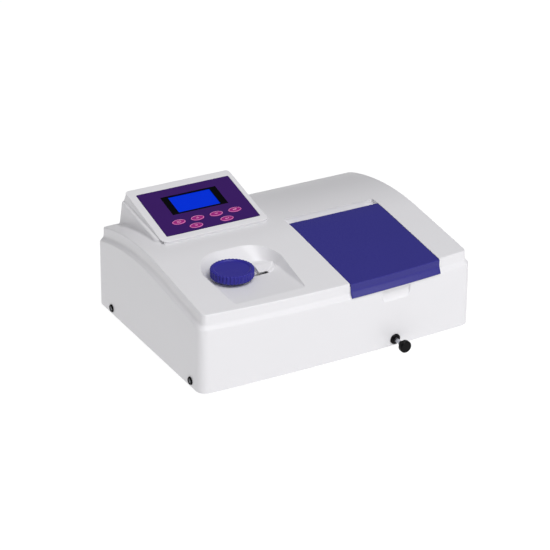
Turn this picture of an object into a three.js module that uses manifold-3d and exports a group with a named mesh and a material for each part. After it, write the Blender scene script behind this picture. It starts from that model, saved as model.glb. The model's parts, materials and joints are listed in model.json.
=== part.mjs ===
// Bench-top visible-light spectrophotometer as an assembly of separate pieces.
// Millimetres, +Z up, front towards -Y. Pieces are drawn about the centre of the housing's footprint and
// the whole group is then shifted along Y, so that the origin is the centre of the bounding box's bottom.
import * as THREE from "three";
import { mergeVertices } from "three/addons/utils/BufferGeometryUtils.js";
import Module from "manifold-3d";

const wasm = await Module();
wasm.setup();

// ---------------------------------------------------------------- driving dimensions

// Clearance between pieces that touch or slide.
const GAP = 0.3;

// Housing
const WIDTH = 426;
const DEPTH = 320;
const CORNER_RADIUS = 14;
// Plan of the housing at its foot and at its deck: how far the front bows and leans out, and the share of
// the shoulder's inset that the sides take.
const FOOT_PLAN = { bow: 4.2, lean: 0, sideShare: 1 };
const DECK_PLAN = { bow: 9, lean: 1.7, sideShare: 4 / 3 };
const FLOOR_Z = 8;
const WALL = 3;
const HALF_WIDTH = WIDTH / 2;
const HALF_DEPTH = DEPTH / 2;

// Deck: a straight ramp from the front that runs into an arc over the back.
const RAMP_SLOPE = THREE.MathUtils.degToRad(8.2);
const RAMP_END_Y = -27;
const RAMP_END_Z = 140;
const CROWN_RADIUS = 410;

// Deck edge and shoulder, from the wall inwards: [inset from the wall's foot, drop below the deck].
const SHOULDER = [
  [1.2, 22],
  [1.9, 19.2],
  [3.4, 17.4],
  [4.7, 15.4],
  [5.5, 12.8],
  [6, 3.2],
  [6.9, 1],
  [9, 0],
];

// Sample lid and the recess that it lies in
const LID = { x0: 11.5, x1: 157, back: 1, thickness: 3.5, foldInset: 5.8 };
const LID_SIDE_GAP = 0.5;
const LEDGE_DROP = 5;
const RECESS_BACK_Y = 16;
const TROUGH_FRONT_Y = -3;
const TROUGH_DROP = 13.5;
const SKIN = 2.5;
const HATCH = { x0: 22, x1: 146, y0: -146, y1: -10 };
const HINGE_Y = 6;
const HINGE_Z = 135;
const HINGE_PIN_RADIUS = 1.5;
const HINGE_LOOP_RADIUS = 3.5;

// Knob well: a pocket with a level floor, sloping walls and two large rear corners
const WELL_FLOOR_Z = 121.5;
const WELL_TOP_Z = 145.5;
const WELL_FOOT = { x: [-153, -47.5], y: [-147, -45], front: 5, rearLeft: 36, rearRight: 22 };
const WELL_BRIM = { x: [-167, -31.7], y: [-148.5, -19.5], front: 5, rearLeft: 52, rearRight: 55 };

// Wavelength knob and its train
const KNOB_AT = [-120.5, -77.5];
const KNOB_RADIUS = 30;
const KNOB_Z = [125.5, 138.5];
const KNOB_FLUTES = 36;
const HOOD = { lipTop: 125.2, rearTop: 129.5, knobClearance: 38 };
const KNOB_SHAFT_RADIUS = 3;
const DIAL_RADIUS = 50;
const DIAL_Z = 114.5;
const GRATING_AT = [-60, -26];
const CAM_Z = [98, 103];
const CAM_HALF_TURN = THREE.MathUtils.degToRad(150);
const CAM_MEAN_RADIUS = 27;
const FOLLOWER_RADIUS = 4;
const ARM_RATIO = 0.04;

// Beam
const BEAM_Z = 41;
const BEAM_Y = -78;
const LAMP_Y = 25;

// Console: a wedge on the deck that carries a tilted bezel
const CONSOLE = { x0: -180.5, x1: -5.5, front: 24, back: 150.5 };
const RIDGE_Z = 147.6;
const RIDGE_SLOPE = 0.153;
const RIDGE_BACK_Y = 141.5;
const PANEL_TILT = THREE.MathUtils.degToRad(14.5);
const PANEL_AT = [-162.3, 30.75, 150.95];
const PANEL = { width: 143.5, length: 98 };
const BEZEL_MARGIN = { left: 13, right: 8.4, front: 11.3, back: 14.2 };
const MEMBRANE_THICKNESS = 0.8;
const DISPLAY_FRAME = { x0: 28.5, x1: 115, y0: 40.7, y1: 82.2 };
const DISPLAY_VIEW = { x0: 39, x1: 104.5, y0: 43.6, y1: 79.6 };
const KEY_SIZE = [20.5, 10.6];
const KEYS = {
  key_mode: [28.8, 23.6],
  key_up: [57.8, 23.6],
  key_down: [87.2, 23.6],
  key_print: [116.5, 23.6],
  key_escape: [48.7, 8.9],
  key_enter: [96.5, 8.9],
};

// Sample well, cuvette carrier and pull rod
const SAMPLE_WELL = { x0: 20, x1: 148, y0: -148, y1: -8, wall: 2, floor: 3 };
const ROD_X = 85.8;
const ROD_Z = 18;
const ROD_RADIUS = 3;
const CELL_SIZE = 13.2;
const CELL_PITCH = 16;
const CELL_COUNT = 4;
const CARRIER_TOP_Z = 58;
const CARRIER_PLATE_Z = [17, 22.5];
const PULL_KNOB_RADIUS = 8.8;
const FRONT_REACH = 193;
const REAR_REACH = 162.5;

// Finger scoop in the front face, under the lid's lip
const SCOOP = { x0: 60.7, x1: 106.6, foot: 80.5, back: -161.5 };

// Side screws: distance behind the housing's centre
const SCREW_Y = { front: -131, rear: 113 };
const SCREW_Z = 17;
const SCREW_HEAD_RADIUS = 5.9;
const SCREW_HEAD_HEIGHT = 2;

// Back panel: centres of its fittings
const INLET_X = -150;
const SWITCH_X = -100;
const PORT_X = -60;
const FAN_AT = [75, 60];
const FITTINGS_Z = 40;
const PORT_Z = 30;
const FAN_SIZE = 60;
const FAN_Y = [139.5, 154.5];

// ---------------------------------------------------------------- solids

// The solid inside a closed geometry, with its faces turned outwards.
function toSolid(geometry) {
  geometry.deleteAttribute("normal");
  geometry.deleteAttribute("uv");
  const merged = mergeVertices(geometry);
  const place = merged.attributes.position;
  const corner = [0, 1, 2].map(() => new THREE.Vector3());
  const triangles = [];
  let volume = 0;
  for (let i = 0; i < merged.index.count; i += 3) {
    const ids = [0, 1, 2].map((k) => merged.index.getX(i + k));
    if (new Set(ids).size < 3) {
      continue;
    }
    ids.forEach((id, k) => corner[k].fromBufferAttribute(place, id));
    volume += corner[0].dot(corner[1].clone().cross(corner[2]));
    triangles.push(ids);
  }
  if (volume < 0) {
    triangles.forEach((ids) => ids.reverse());
  }
  return new wasm.Manifold(
    new wasm.Mesh({
      numProp: 3,
      vertProperties: place.array,
      triVerts: Uint32Array.from(triangles.flat()),
    }),
  );
}

function toGeometry(solid) {
  const mesh = solid.getMesh();
  const geometry = new THREE.BufferGeometry();
  geometry.setAttribute("position", new THREE.BufferAttribute(mesh.vertProperties, 3));
  geometry.setIndex(new THREE.BufferAttribute(mesh.triVerts, 1));
  geometry.computeVertexNormals();
  return geometry;
}

function union(first, ...others) {
  return others.reduce((sum, other) => sum.add(other), first);
}

function cut(first, ...others) {
  return others.reduce((rest, other) => rest.subtract(other), first);
}

// A box between two planes along each axis.
function block(x, y, z) {
  const geometry = new THREE.BoxGeometry(x[1] - x[0], y[1] - y[0], z[1] - z[0]);
  geometry.translate((x[0] + x[1]) / 2, (y[0] + y[1]) / 2, (z[0] + z[1]) / 2);
  return toSolid(geometry);
}

// A round bar along one axis; at holds its two other coordinates, in X, Y, Z order.
function bar(axis, radius, [from, to], at = [0, 0], sides = 24) {
  const geometry = new THREE.CylinderGeometry(radius, radius, to - from, sides);
  const middle = (from + to) / 2;
  if (axis === "x") {
    geometry.rotateZ(Math.PI / 2);
    geometry.translate(middle, at[0], at[1]);
  } else if (axis === "y") {
    geometry.translate(at[0], middle, at[1]);
  } else {
    geometry.rotateX(Math.PI / 2);
    geometry.translate(at[0], at[1], middle);
  }
  return toSolid(geometry);
}

// A body of revolution about a Z line; the profile holds [radius, z] pairs and starts and ends on the axis.
function turned(profile, at = [0, 0], sides = 32) {
  const points = profile.map(([radius, z]) => new THREE.Vector2(radius, z));
  const geometry = new THREE.LatheGeometry(points, sides);
  geometry.rotateX(Math.PI / 2);
  geometry.translate(at[0], at[1], 0);
  return toSolid(geometry);
}

// A straight prism. The outline lies in the plane across the axis: (y, z) for x, (x, z) for y, (x, y) for z.
function prism(axis, outline, [from, to]) {
  const shape = new THREE.Shape(outline.map(([u, v]) => new THREE.Vector2(u, v)));
  const geometry = new THREE.ExtrudeGeometry(shape, { depth: to - from, bevelEnabled: false });
  const basis = new THREE.Matrix4();
  const [x, y, z] = [0, 1, 2].map((i) => new THREE.Vector3().setComponent(i, 1));
  if (axis === "x") {
    geometry.translate(0, 0, from);
    basis.makeBasis(y, z, x);
  } else if (axis === "y") {
    geometry.translate(0, 0, -to);
    basis.makeBasis(x, z, y.clone().negate());
  } else {
    geometry.translate(0, 0, from);
  }
  geometry.applyMatrix4(basis);
  return toSolid(geometry);
}

// A solid through a stack of rings with equal point counts. capOf gives a ring's cap as index triples.
function loft(rings, capOf) {
  const count = rings[0].length;
  const triangles = [];
  rings.slice(1).forEach((ring, k) => {
    ring.forEach((point, i) => {
      const next = (i + 1) % count;
      const [a, b] = [k * count + i, k * count + next];
      triangles.push([a, b, b + count], [a, b + count, a + count]);
    });
  });
  const top = (rings.length - 1) * count;
  capOf(rings[0]).forEach(([a, b, c]) => triangles.push([a, c, b]));
  capOf(rings.at(-1)).forEach((ids) => triangles.push(ids.map((id) => id + top)));
  const geometry = new THREE.BufferGeometry();
  geometry.setAttribute("position", new THREE.Float32BufferAttribute(rings.flat(2), 3));
  geometry.setIndex(triangles.flat());
  return toSolid(geometry);
}

// Cap of a flat ring.
function flatCap(ring) {
  return THREE.ShapeUtils.triangulateShape(
    ring.map(([x, y]) => new THREE.Vector2(x, y)),
    [],
  );
}

// Cap of a ring that is mirrored about x = 0, in strips that run straight across it.
function stripCap(ring) {
  const last = ring.length - 1;
  const strips = [];
  for (let i = 0; i < last / 2 - 1; i += 1) {
    strips.push([i, i + 1, last - i - 1], [i, last - i - 1, last - i]);
  }
  return strips;
}

function arc(centre, [radiusX, radiusY], [from, to], steps) {
  return Array.from({ length: steps + 1 }, (_, i) => {
    const angle = from + ((to - from) * i) / steps;
    return [centre[0] + radiusX * Math.cos(angle), centre[1] + radiusY * Math.sin(angle)];
  });
}

// A rectangle with round corners.
function roundedRectangle([x0, x1], [y0, y1], radius, steps = 4) {
  const quarter = Math.PI / 2;
  const corners = [
    [x1 - radius, y0 + radius, -quarter],
    [x1 - radius, y1 - radius, 0],
    [x0 + radius, y1 - radius, quarter],
    [x0 + radius, y0 + radius, 2 * quarter],
  ];
  return corners.flatMap(([x, y, from]) => arc([x, y], [radius, radius], [from, from + quarter], steps));
}

const group = new THREE.Group();
group.position.y = (FRONT_REACH - REAR_REACH) / 2;

// The tilted frame of the control panel: its origin is the panel's front left corner.
const panelGroup = new THREE.Group();
panelGroup.position.set(...PANEL_AT);
panelGroup.rotation.x = PANEL_TILT;
group.add(panelGroup);

const FINISHES = {
  housing: [0xe4e5e8, 0.45, 0],
  lid: [0x35307c, 0.4, 0],
  membrane: [0x3a1f5c, 0.35, 0],
  key: [0x96297a, 0.35, 0],
  display: [0x0a35cc, 0.15, 0],
  black: [0x16161a, 0.5, 0],
  rubber: [0x202022, 0.9, 0],
  foam: [0x1c1c1e, 0.95, 0],
  steel: [0xb9bcc2, 0.3, 1],
  sheet: [0xc4c7cb, 0.45, 0.6],
  aluminium: [0xc9ccd0, 0.4, 0.9],
  anodised: [0x1b1b1f, 0.6, 0.5],
  brass: [0xc9a650, 0.35, 1],
  glass: [0xe6eef5, 0.05, 0],
  mirror: [0xf0f2f5, 0.05, 1],
  board: [0x1e6b3a, 0.6, 0],
  ceramic: [0xe9e4d8, 0.7, 0],
  dial: [0xf2f2ee, 0.5, 0],
};

// Adds a solid to the assembly as a named mesh.
function add(name, finish, solid, parent = group) {
  const [color, roughness, metalness] = FINISHES[finish];
  const material = new THREE.MeshStandardMaterial({ color, roughness, metalness });
  const mesh = new THREE.Mesh(toGeometry(solid), material);
  mesh.name = name;
  parent.add(mesh);
}

// ---------------------------------------------------------------- housing shape

function deckZ(y) {
  if (y < RAMP_END_Y) {
    return RAMP_END_Z + (y - RAMP_END_Y) * Math.tan(RAMP_SLOPE);
  }
  const centreY = RAMP_END_Y + CROWN_RADIUS * Math.sin(RAMP_SLOPE);
  const centreZ = RAMP_END_Z - CROWN_RADIUS * Math.cos(RAMP_SLOPE);
  return centreZ + Math.sqrt(CROWN_RADIUS ** 2 - (y - centreY) ** 2);
}

// Plan outline of the housing, moved inwards by inset, with a bowed front. The right half runs from the
// front to the back, and the left half is its mirror image.
function housingRing({ bow, lean, sideShare }, inset, heightAt) {
  const x = HALF_WIDTH - CORNER_RADIUS;
  const y = HALF_DEPTH - CORNER_RADIUS;
  const sideInset = inset * sideShare;
  const radii = [CORNER_RADIUS - sideInset, CORNER_RADIUS - inset];
  const frontSpans = 5;
  const sideSpans = 12;
  const front = Array.from({ length: frontSpans }, (_, i) => {
    const across = (2 * i + 1) / (2 * frontSpans + 1);
    return [x * across, inset - HALF_DEPTH - lean - bow * (1 - across ** 2)];
  });
  const side = Array.from({ length: sideSpans - 1 }, (_, i) => [
    HALF_WIDTH - sideInset,
    y * ((2 * (i + 1)) / sideSpans - 1),
  ]);
  const right = [
    ...front,
    ...arc([x, -y - lean], radii, [-Math.PI / 2, 0], 4),
    ...side,
    ...arc([x, y], radii, [0, Math.PI / 2], 4),
  ];
  const left = right.map(([px, py]) => [-px, py]).reverse();
  return [...right, ...left].map(([px, py]) => [px, py, heightAt(py)]);
}

function belowDeck(drop) {
  return (y) => deckZ(y) - drop;
}

// The housing's outer form, and the hollow inside it.
const outerForm = loft(
  [
    housingRing(FOOT_PLAN, 0, () => FLOOR_Z),
    ...SHOULDER.map(([inset, drop]) => housingRing(DECK_PLAN, inset, belowDeck(drop))),
  ],
  stripCap,
);
const hollow = loft(
  [
    housingRing(FOOT_PLAN, WALL, () => FLOOR_Z - 1),
    housingRing(DECK_PLAN, WALL + 1.2, belowDeck(24)),
    housingRing(DECK_PLAN, WALL + 6, belowDeck(17)),
    housingRing(DECK_PLAN, WALL + 6.2, belowDeck(WALL)),
  ],
  stripCap,
);

// A slab that follows the deck between two depths below it.
function deckSlab(x, [y0, y1], [upper, lower]) {
  const steps = 10;
  const along = Array.from({ length: steps + 1 }, (_, i) => y0 + ((y1 - y0) * i) / steps);
  const top = along.map((y) => [y, deckZ(y) - upper]);
  const bottom = along.map((y) => [y, deckZ(y) - lower]).reverse();
  return prism("x", [...top, ...bottom], x);
}

// Outline of the knob well at one level, moved outwards by margin.
function wellRing({ x, y, front, rearLeft, rearRight }, z, margin = 0) {
  const quarter = Math.PI / 2;
  const corners = [
    [x[0] + front, y[0] + front, front, 2 * quarter, 3],
    [x[1] - front, y[0] + front, front, 3 * quarter, 3],
    [x[1] - rearRight, y[1] - rearRight, rearRight, 0, 10],
    [x[0] + rearLeft, y[1] - rearLeft, rearLeft, quarter, 10],
  ];
  const outline = corners.flatMap(([cx, cy, radius, from, steps]) =>
    arc([cx, cy], [radius + margin, radius + margin], [from, from + quarter], steps),
  );
  return outline.map(([px, py]) => [px, py, z]);
}

function wellForm(floorZ, margin = 0) {
  return loft([wellRing(WELL_FOOT, floorZ, margin), wellRing(WELL_BRIM, WELL_TOP_Z, margin)], flatCap);
}

// ---------------------------------------------------------------- top housing

function topHousing() {
  const recessX = [LID.x0 - LID_SIDE_GAP, LID.x1 + LID_SIDE_GAP];
  const tubX = [recessX[0] - SKIN, recessX[1] + SKIN];
  const troughFloor = TROUGH_DROP + SKIN;
  const lidTub = union(
    deckSlab(tubX, [-168, RECESS_BACK_Y + SKIN], [-10, LEDGE_DROP + WALL]),
    deckSlab(tubX, [TROUGH_FRONT_Y - SKIN, RECESS_BACK_Y + SKIN], [-10, troughFloor]),
  );
  const scoopX = [SCOOP.x0 - WALL, SCOOP.x1 + WALL];
  const scoopBack = block(scoopX, [-168, SCOOP.back + WALL], [SCOOP.foot - WALL, 112]);
  const linings = union(lidTub, scoopBack, wellForm(WELL_FLOOR_Z - WALL, WALL)).intersect(outerForm);
  const shell = cut(outerForm, hollow).add(linings);

  const scoop = prism(
    "x",
    [
      [-175, SCOOP.foot],
      [SCOOP.back - 5.7, SCOOP.foot],
      [SCOOP.back - 2.7, SCOOP.foot + 4],
      [SCOOP.back - 0.7, SCOOP.foot + 9.5],
      [SCOOP.back, SCOOP.foot + 16.5],
      [SCOOP.back, 106],
      [-175, 106],
    ],
    [SCOOP.x0, SCOOP.x1],
  );
  const openings = union(
    deckSlab(recessX, [-175, LID.back + LID_SIDE_GAP], [-10, LEDGE_DROP]),
    deckSlab(recessX, [TROUGH_FRONT_Y, RECESS_BACK_Y], [-10, TROUGH_DROP]),
    deckSlab([HATCH.x0, HATCH.x1], [HATCH.y0, HATCH.y1], [-10, 20]),
    wellForm(WELL_FLOOR_Z),
    scoop,
    bar("z", 6.3, [110, 125], KNOB_AT),
    bar("y", 5.8, [-170, -150], [ROD_X, ROD_Z]),
    block([-140, -45], [60, 125], [125, 150]),
    block([INLET_X - 14.3, INLET_X + 14.3], [150, 165], [FITTINGS_Z - 10.3, FITTINGS_Z + 10.3]),
    block([SWITCH_X - 6.8, SWITCH_X + 6.8], [150, 165], [FITTINGS_Z - 9.8, FITTINGS_Z + 9.8]),
    block([PORT_X - 11.3, PORT_X + 11.3], [150, 165], [PORT_Z - 5.3, PORT_Z + 5.3]),
  );
  const ventPitch = 7;
  const vents = Array.from({ length: 7 }, (_, i) => {
    const z = FAN_AT[1] + (i - 3) * ventPitch;
    return block([FAN_AT[0] - 26, FAN_AT[0] + 26], [150, 165], [z - 1.8, z + 1.8]);
  });
  const screwHoles = Object.values(SCREW_Y).map((y) => bar("x", 2.4, [-220, 220], [y, SCREW_Z]));

  // Hood over the readout slot: a low bump that slopes down to a lip and is cut short round the knob.
  const floor = WELL_FLOOR_Z;
  const bump = wasm.Manifold.hull([
    [-86, -82.5, HOOD.lipTop],
    [-70.5, -82.5, HOOD.lipTop],
    [-86, -83, HOOD.lipTop - 0.6],
    [-70.5, -83, HOOD.lipTop - 0.6],
    [-86, -70, HOOD.rearTop],
    [-57, -70.5, HOOD.rearTop],
    [-86, -68, floor - 1],
    [-51, -68, floor - 1],
    [-86, -83, floor - 1],
    [-65.5, -83.5, floor - 1],
  ]);
  const mouth = block([-100, -70.5], [-90, -76], [floor, HOOD.lipTop - 1.2]);
  const hood = cut(bump, mouth, bar("z", HOOD.knobClearance, [floor, HOOD.rearTop + 2], KNOB_AT, 48));
  const slot = block([-93, -70], [-84, -76.5], [floor - WALL - 1, floor + 0.5]);

  const hingeLugs = [
    [16, 24],
    [144.5, 152.5],
  ].map((x) => block(x, [HINGE_Y - 3.5, HINGE_Y + 3.5], [HINGE_Z - 6, HINGE_Z + 3.5]));
  const hingeBore = bar("x", HINGE_PIN_RADIUS + GAP, [15, 154], [HINGE_Y, HINGE_Z]);

  const walls = cut(shell, openings, ...vents, ...screwHoles);
  return cut(union(walls, hood, ...hingeLugs), slot, hingeBore);
}
add("top_housing", "housing", topHousing());

// ---------------------------------------------------------------- base, feet and screws

const baseX = HALF_WIDTH - WALL - 1.5;
const baseTop = FLOOR_Z + 2;
const flangeTop = 26;
const screwShanks = Object.values(SCREW_Y).map((y) => bar("x", 2.4, [-220, 220], [y, SCREW_Z]));
const basePlate = union(
  prism("z", roundedRectangle([-baseX, baseX], [-155, 155], 11), [FLOOR_Z, baseTop]),
  block([-baseX, 2 - baseX], [-140, 140], [FLOOR_Z, flangeTop]),
  block([baseX - 2, baseX], [-140, 140], [FLOOR_Z, flangeTop]),
);
add("base_plate", "sheet", cut(basePlate, ...screwShanks));

for (const [side, x] of Object.entries({ left: -160, right: 160 })) {
  for (const [end, y] of Object.entries({ front: -115, rear: 115 })) {
    const foot = turned([[0, 0], [9, 0], [10.5, 1.5], [11.5, FLOOR_Z], [0, FLOOR_Z]], [x, y], 24);
    add(`foot_${end}_${side}`, "rubber", foot);
  }
}

// A screw in its cup washer, with its head outwards along X.
function sideScrew(direction, y) {
  const head = [
    [0, 0],
    [SCREW_HEAD_RADIUS, 0],
    [SCREW_HEAD_RADIUS - 1, SCREW_HEAD_HEIGHT],
    [3.4, SCREW_HEAD_HEIGHT],
    [2.9, SCREW_HEAD_HEIGHT / 2],
    [0, SCREW_HEAD_HEIGHT / 2],
  ];
  const screw = union(turned(head, [0, 0], 24), bar("z", 2, [-9, 0.5]));
  const geometry = toGeometry(screw);
  geometry.rotateY((direction * Math.PI) / 2);
  geometry.translate(direction * (HALF_WIDTH + 0.1), y, SCREW_Z);
  return toSolid(geometry);
}
for (const [end, y] of Object.entries(SCREW_Y)) {
  add(`side_screw_${end}_left`, "black", sideScrew(-1, y));
  add(`side_screw_${end}_right`, "black", sideScrew(1, y));
}

// ---------------------------------------------------------------- console

function ridgeZ(y) {
  return RIDGE_Z + (y - CONSOLE.front) * RIDGE_SLOPE;
}

function consoleBody() {
  const seat = Array.from({ length: 11 }, (_, i) => {
    const y = CONSOLE.front + ((CONSOLE.back - CONSOLE.front) * i) / 10;
    return [y, deckZ(y) + GAP];
  });
  const outline = [
    ...seat,
    [CONSOLE.back - 1, deckZ(CONSOLE.back) + 12],
    [RIDGE_BACK_Y + 2.5, ridgeZ(RIDGE_BACK_Y) - 3],
    [RIDGE_BACK_Y, ridgeZ(RIDGE_BACK_Y)],
    [CONSOLE.front, RIDGE_Z],
  ];
  const cavity = [
    [32, 120],
    [145, 120],
    [143, 150],
    [136, ridgeZ(136) - WALL],
    [32, ridgeZ(32) - WALL],
  ];
  const body = prism("x", outline, [CONSOLE.x0, CONSOLE.x1]);
  const inside = prism("x", cavity, [CONSOLE.x0 + WALL, CONSOLE.x1 - WALL]);
  const hatch = block([-160, -21], [32, 129], [140, 175]);
  return cut(body, inside, hatch);
}
add("console_body", "housing", consoleBody());

// The bezel and what it holds are drawn in the panel's own frame: x across, y up the slope, z out of it.
const bezelX = [-BEZEL_MARGIN.left, PANEL.width + BEZEL_MARGIN.right];
const bezelY = [-BEZEL_MARGIN.front, PANEL.length + BEZEL_MARGIN.back];

function consoleBezel() {
  const frame = prism("z", roundedRectangle(bezelX, bezelY, 9), [-30, 0]);
  // The space above the ridge, and above the deck in front of the wedge, in the same tilted frame.
  const apron = [CONSOLE.front - 14, CONSOLE.front - GAP];
  const wedge = toGeometry(
    prism(
      "x",
      [
        [apron[0], deckZ(apron[0]) + GAP],
        [apron[1], deckZ(apron[1]) + GAP],
        [apron[1], ridgeZ(apron[1]) + GAP],
        [RIDGE_BACK_Y + 20, ridgeZ(RIDGE_BACK_Y + 20) + GAP],
        [RIDGE_BACK_Y + 20, 260],
        [apron[0], 260],
      ],
      [-200, 20],
    ),
  );
  wedge.translate(-PANEL_AT[0], -PANEL_AT[1], -PANEL_AT[2]);
  wedge.rotateX(-PANEL_TILT);
  const panelOutline = roundedRectangle([0, PANEL.width], [0, PANEL.length], 1.5);
  const inset = prism("z", panelOutline, [-MEMBRANE_THICKNESS - GAP, 5]);
  const window = block([2.8, PANEL.width - 2.8], [2.8, PANEL.length - 2.8], [-40, 5]);
  return cut(frame.intersect(toSolid(wedge)), inset, window);
}
add("console_bezel", "housing", consoleBezel(), panelGroup);

function keyOutline([x, y], clearance) {
  const radii = KEY_SIZE.map((size) => size / 2 + clearance);
  return arc([x, y], radii, [0, 2 * Math.PI], 28).slice(1);
}

const membraneTop = -0.2;
const membraneBottom = membraneTop - MEMBRANE_THICKNESS;
const keyCutouts = Object.values(KEYS).map((at) => prism("z", keyOutline(at, GAP), [-3, 3]));
const displayCutout = block(
  [DISPLAY_FRAME.x0 - GAP, DISPLAY_FRAME.x1 + GAP],
  [DISPLAY_FRAME.y0 - GAP, DISPLAY_FRAME.y1 + GAP],
  [-3, 3],
);
const membrane = prism(
  "z",
  roundedRectangle([GAP, PANEL.width - GAP], [GAP, PANEL.length - GAP], 1.2),
  [membraneBottom, membraneTop],
);
add("membrane_panel", "membrane", cut(membrane, displayCutout, ...keyCutouts), panelGroup);

const view = block([DISPLAY_VIEW.x0, DISPLAY_VIEW.x1], [DISPLAY_VIEW.y0, DISPLAY_VIEW.y1], [-5, 3]);
const displayFrame = block(
  [DISPLAY_FRAME.x0, DISPLAY_FRAME.x1],
  [DISPLAY_FRAME.y0, DISPLAY_FRAME.y1],
  [membraneBottom, membraneTop],
);
add("display_frame", "black", displayFrame.subtract(view), panelGroup);

const displayModule = union(
  block([DISPLAY_VIEW.x0 - 4, DISPLAY_VIEW.x1 + 4], [DISPLAY_VIEW.y0 - 3, DISPLAY_VIEW.y1 + 3], [-7, -1.3]),
  block([DISPLAY_VIEW.x0 - 10, DISPLAY_VIEW.x1 + 10], [DISPLAY_VIEW.y0 - 5, DISPLAY_VIEW.y1 + 5], [-9, -7]),
);
add("display_module", "display", displayModule, panelGroup);

const keypadBoard = block([4.5, PANEL.width - 4.5], [4.5, PANEL.length - 62], [-3.8, -2.2]);
add("keypad_board", "board", keypadBoard, panelGroup);

for (const [name, at] of Object.entries(KEYS)) {
  add(name, "key", prism("z", keyOutline(at, 0), [-1.3, 0.2]), panelGroup);
}

// ---------------------------------------------------------------- sample lid

// Cross-section of the lid at one place along X, in (y, z): its fold and its lip follow the bowed front.
function lidSection(x) {
  const steps = 8;
  const across = x / (HALF_WIDTH - CORNER_RADIUS);
  const fold = LID.foldInset - HALF_DEPTH - DECK_PLAN.lean - DECK_PLAN.bow * (1 - across ** 2);
  const along = Array.from({ length: steps + 1 }, (_, i) => LID.back + ((fold - LID.back) * i) / steps);
  const foldZ = deckZ(fold);
  const lip = [
    [0.9, 0.6],
    [1.9, 2.6],
    [2.2, 8],
    [2.5, 12.5],
    [3.4, 15.2],
    [4.6, 17.5],
    [5.8, 19.3],
    [4.7, 20],
    [3, 17.6],
    [1.7, 15.3],
    [0.9, 12.6],
    [0.5, 4.4],
    [-2.5, 3.2],
  ];
  const top = along.map((y) => [y, deckZ(y)]);
  const bottom = along.slice(0, -1).map((y) => [y, deckZ(y) - LID.thickness]);
  return [...top, ...lip.map(([out, drop]) => [fold - out, foldZ - drop]), ...bottom.reverse()];
}

function sampleLid() {
  const spans = 4;
  const sections = Array.from({ length: spans + 1 }, (_, i) => {
    const x = LID.x0 + ((LID.x1 - LID.x0) * i) / spans;
    return lidSection(x).map(([y, z]) => [y, z, x]);
  });
  const geometry = toGeometry(loft(sections, flatCap));
  const [x, y, z] = [0, 1, 2].map((i) => new THREE.Vector3().setComponent(i, 1));
  geometry.applyMatrix4(new THREE.Matrix4().makeBasis(y, z, x));
  const plate = toSolid(geometry);
  const loop = union(
    bar("x", HINGE_LOOP_RADIUS, [0, 10], [HINGE_Y, HINGE_Z]),
    prism(
      "x",
      [
        [-1.9, 140],
        [-1.9, 137.5],
        [HINGE_Y - 3.2, HINGE_Z - 1],
        [HINGE_Y, HINGE_Z + HINGE_LOOP_RADIUS],
        [LID.back, 140],
      ],
      [0, 10],
    ),
  );
  const loops = [25, 133.5].map((at) => loop.translate([at, 0, 0]));
  const bore = bar("x", HINGE_PIN_RADIUS + GAP, [20, 150], [HINGE_Y, HINGE_Z]);
  return union(plate, ...loops).subtract(bore);
}
add("sample_lid", "lid", sampleLid());

const lidSeal = cut(
  deckSlab([14, 154], [-154.5, -4], [LID.thickness + 0.25, LEDGE_DROP - 0.25]),
  deckSlab([19.5, 148.5], [-149, -8.5], [0, 10]),
);
add("lid_seal", "foam", lidSeal);
add("lid_hinge_pin", "steel", bar("x", HINGE_PIN_RADIUS, [15.7, 152.8], [HINGE_Y, HINGE_Z], 16));

// ---------------------------------------------------------------- sample well and carrier

function sampleWell() {
  const { x0, x1, y0, y1, wall, floor } = SAMPLE_WELL;
  const bottom = baseTop;
  const top = 8 + GAP;
  const profile = [
    [y0, bottom],
    [y1, bottom],
    [y1, deckZ(y1) - top],
    [RAMP_END_Y, deckZ(RAMP_END_Y) - top],
    [y0, deckZ(y0) - top],
  ];
  const railZ = [bottom + floor, CARRIER_PLATE_Z[0] - 0.4];
  const rails = [62, 105.6].map((x) => block([x, x + 4], [y0 + wall, y1 - wall], [bottom + 1, railZ[1]]));
  return union(
    cut(
      prism("x", profile, [x0, x1]),
      block([x0 + wall, x1 - wall], [y0 + wall, y1 - wall], [bottom + floor, 200]),
      bar("x", 6, [x0 - 5, x1 + 5], [BEAM_Y, BEAM_Z]),
      bar("y", ROD_RADIUS + 0.6, [y0 - 5, y0 + 5], [ROD_X, ROD_Z]),
    ),
    ...rails,
  );
}
add("sample_well", "black", sampleWell());

function cuvetteCarrier() {
  const half = CELL_SIZE / 2;
  const cellYs = Array.from({ length: CELL_COUNT }, (_, i) => BEAM_Y + i * CELL_PITCH);
  const reach = [BEAM_Y - half - 2.5, cellYs.at(-1) + half + 2.5];
  const body = union(
    block([ROD_X - 26, ROD_X + 26], reach, CARRIER_PLATE_Z),
    block([ROD_X - half - 2.5, ROD_X + half + 2.5], reach, [CARRIER_PLATE_Z[0], CARRIER_TOP_Z]),
    block([ROD_X - 6, ROD_X + 6], [reach[0] - 8, reach[0]], [baseTop + 3.4, CARRIER_PLATE_Z[1]]),
  );
  const cellX = [ROD_X - half, ROD_X + half];
  const cells = cellYs.map((y) => block(cellX, [y - half, y + half], [CARRIER_PLATE_Z[1], 70]));
  const windows = cellYs.map((y) => bar("x", 4, [ROD_X - 20, ROD_X + 20], [y, BEAM_Z], 16));
  const rodSocket = bar("y", ROD_RADIUS + GAP, [reach[0] - 10, reach[0] - 1], [ROD_X, ROD_Z]);
  return cut(body, ...cells, ...windows, rodSocket);
}
add("cuvette_carrier", "anodised", cuvetteCarrier());

const carrierFront = BEAM_Y - CELL_SIZE / 2 - 2.5;
add("pull_rod", "steel", bar("y", ROD_RADIUS, [-187, carrierFront - 1.5], [ROD_X, ROD_Z]));

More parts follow.
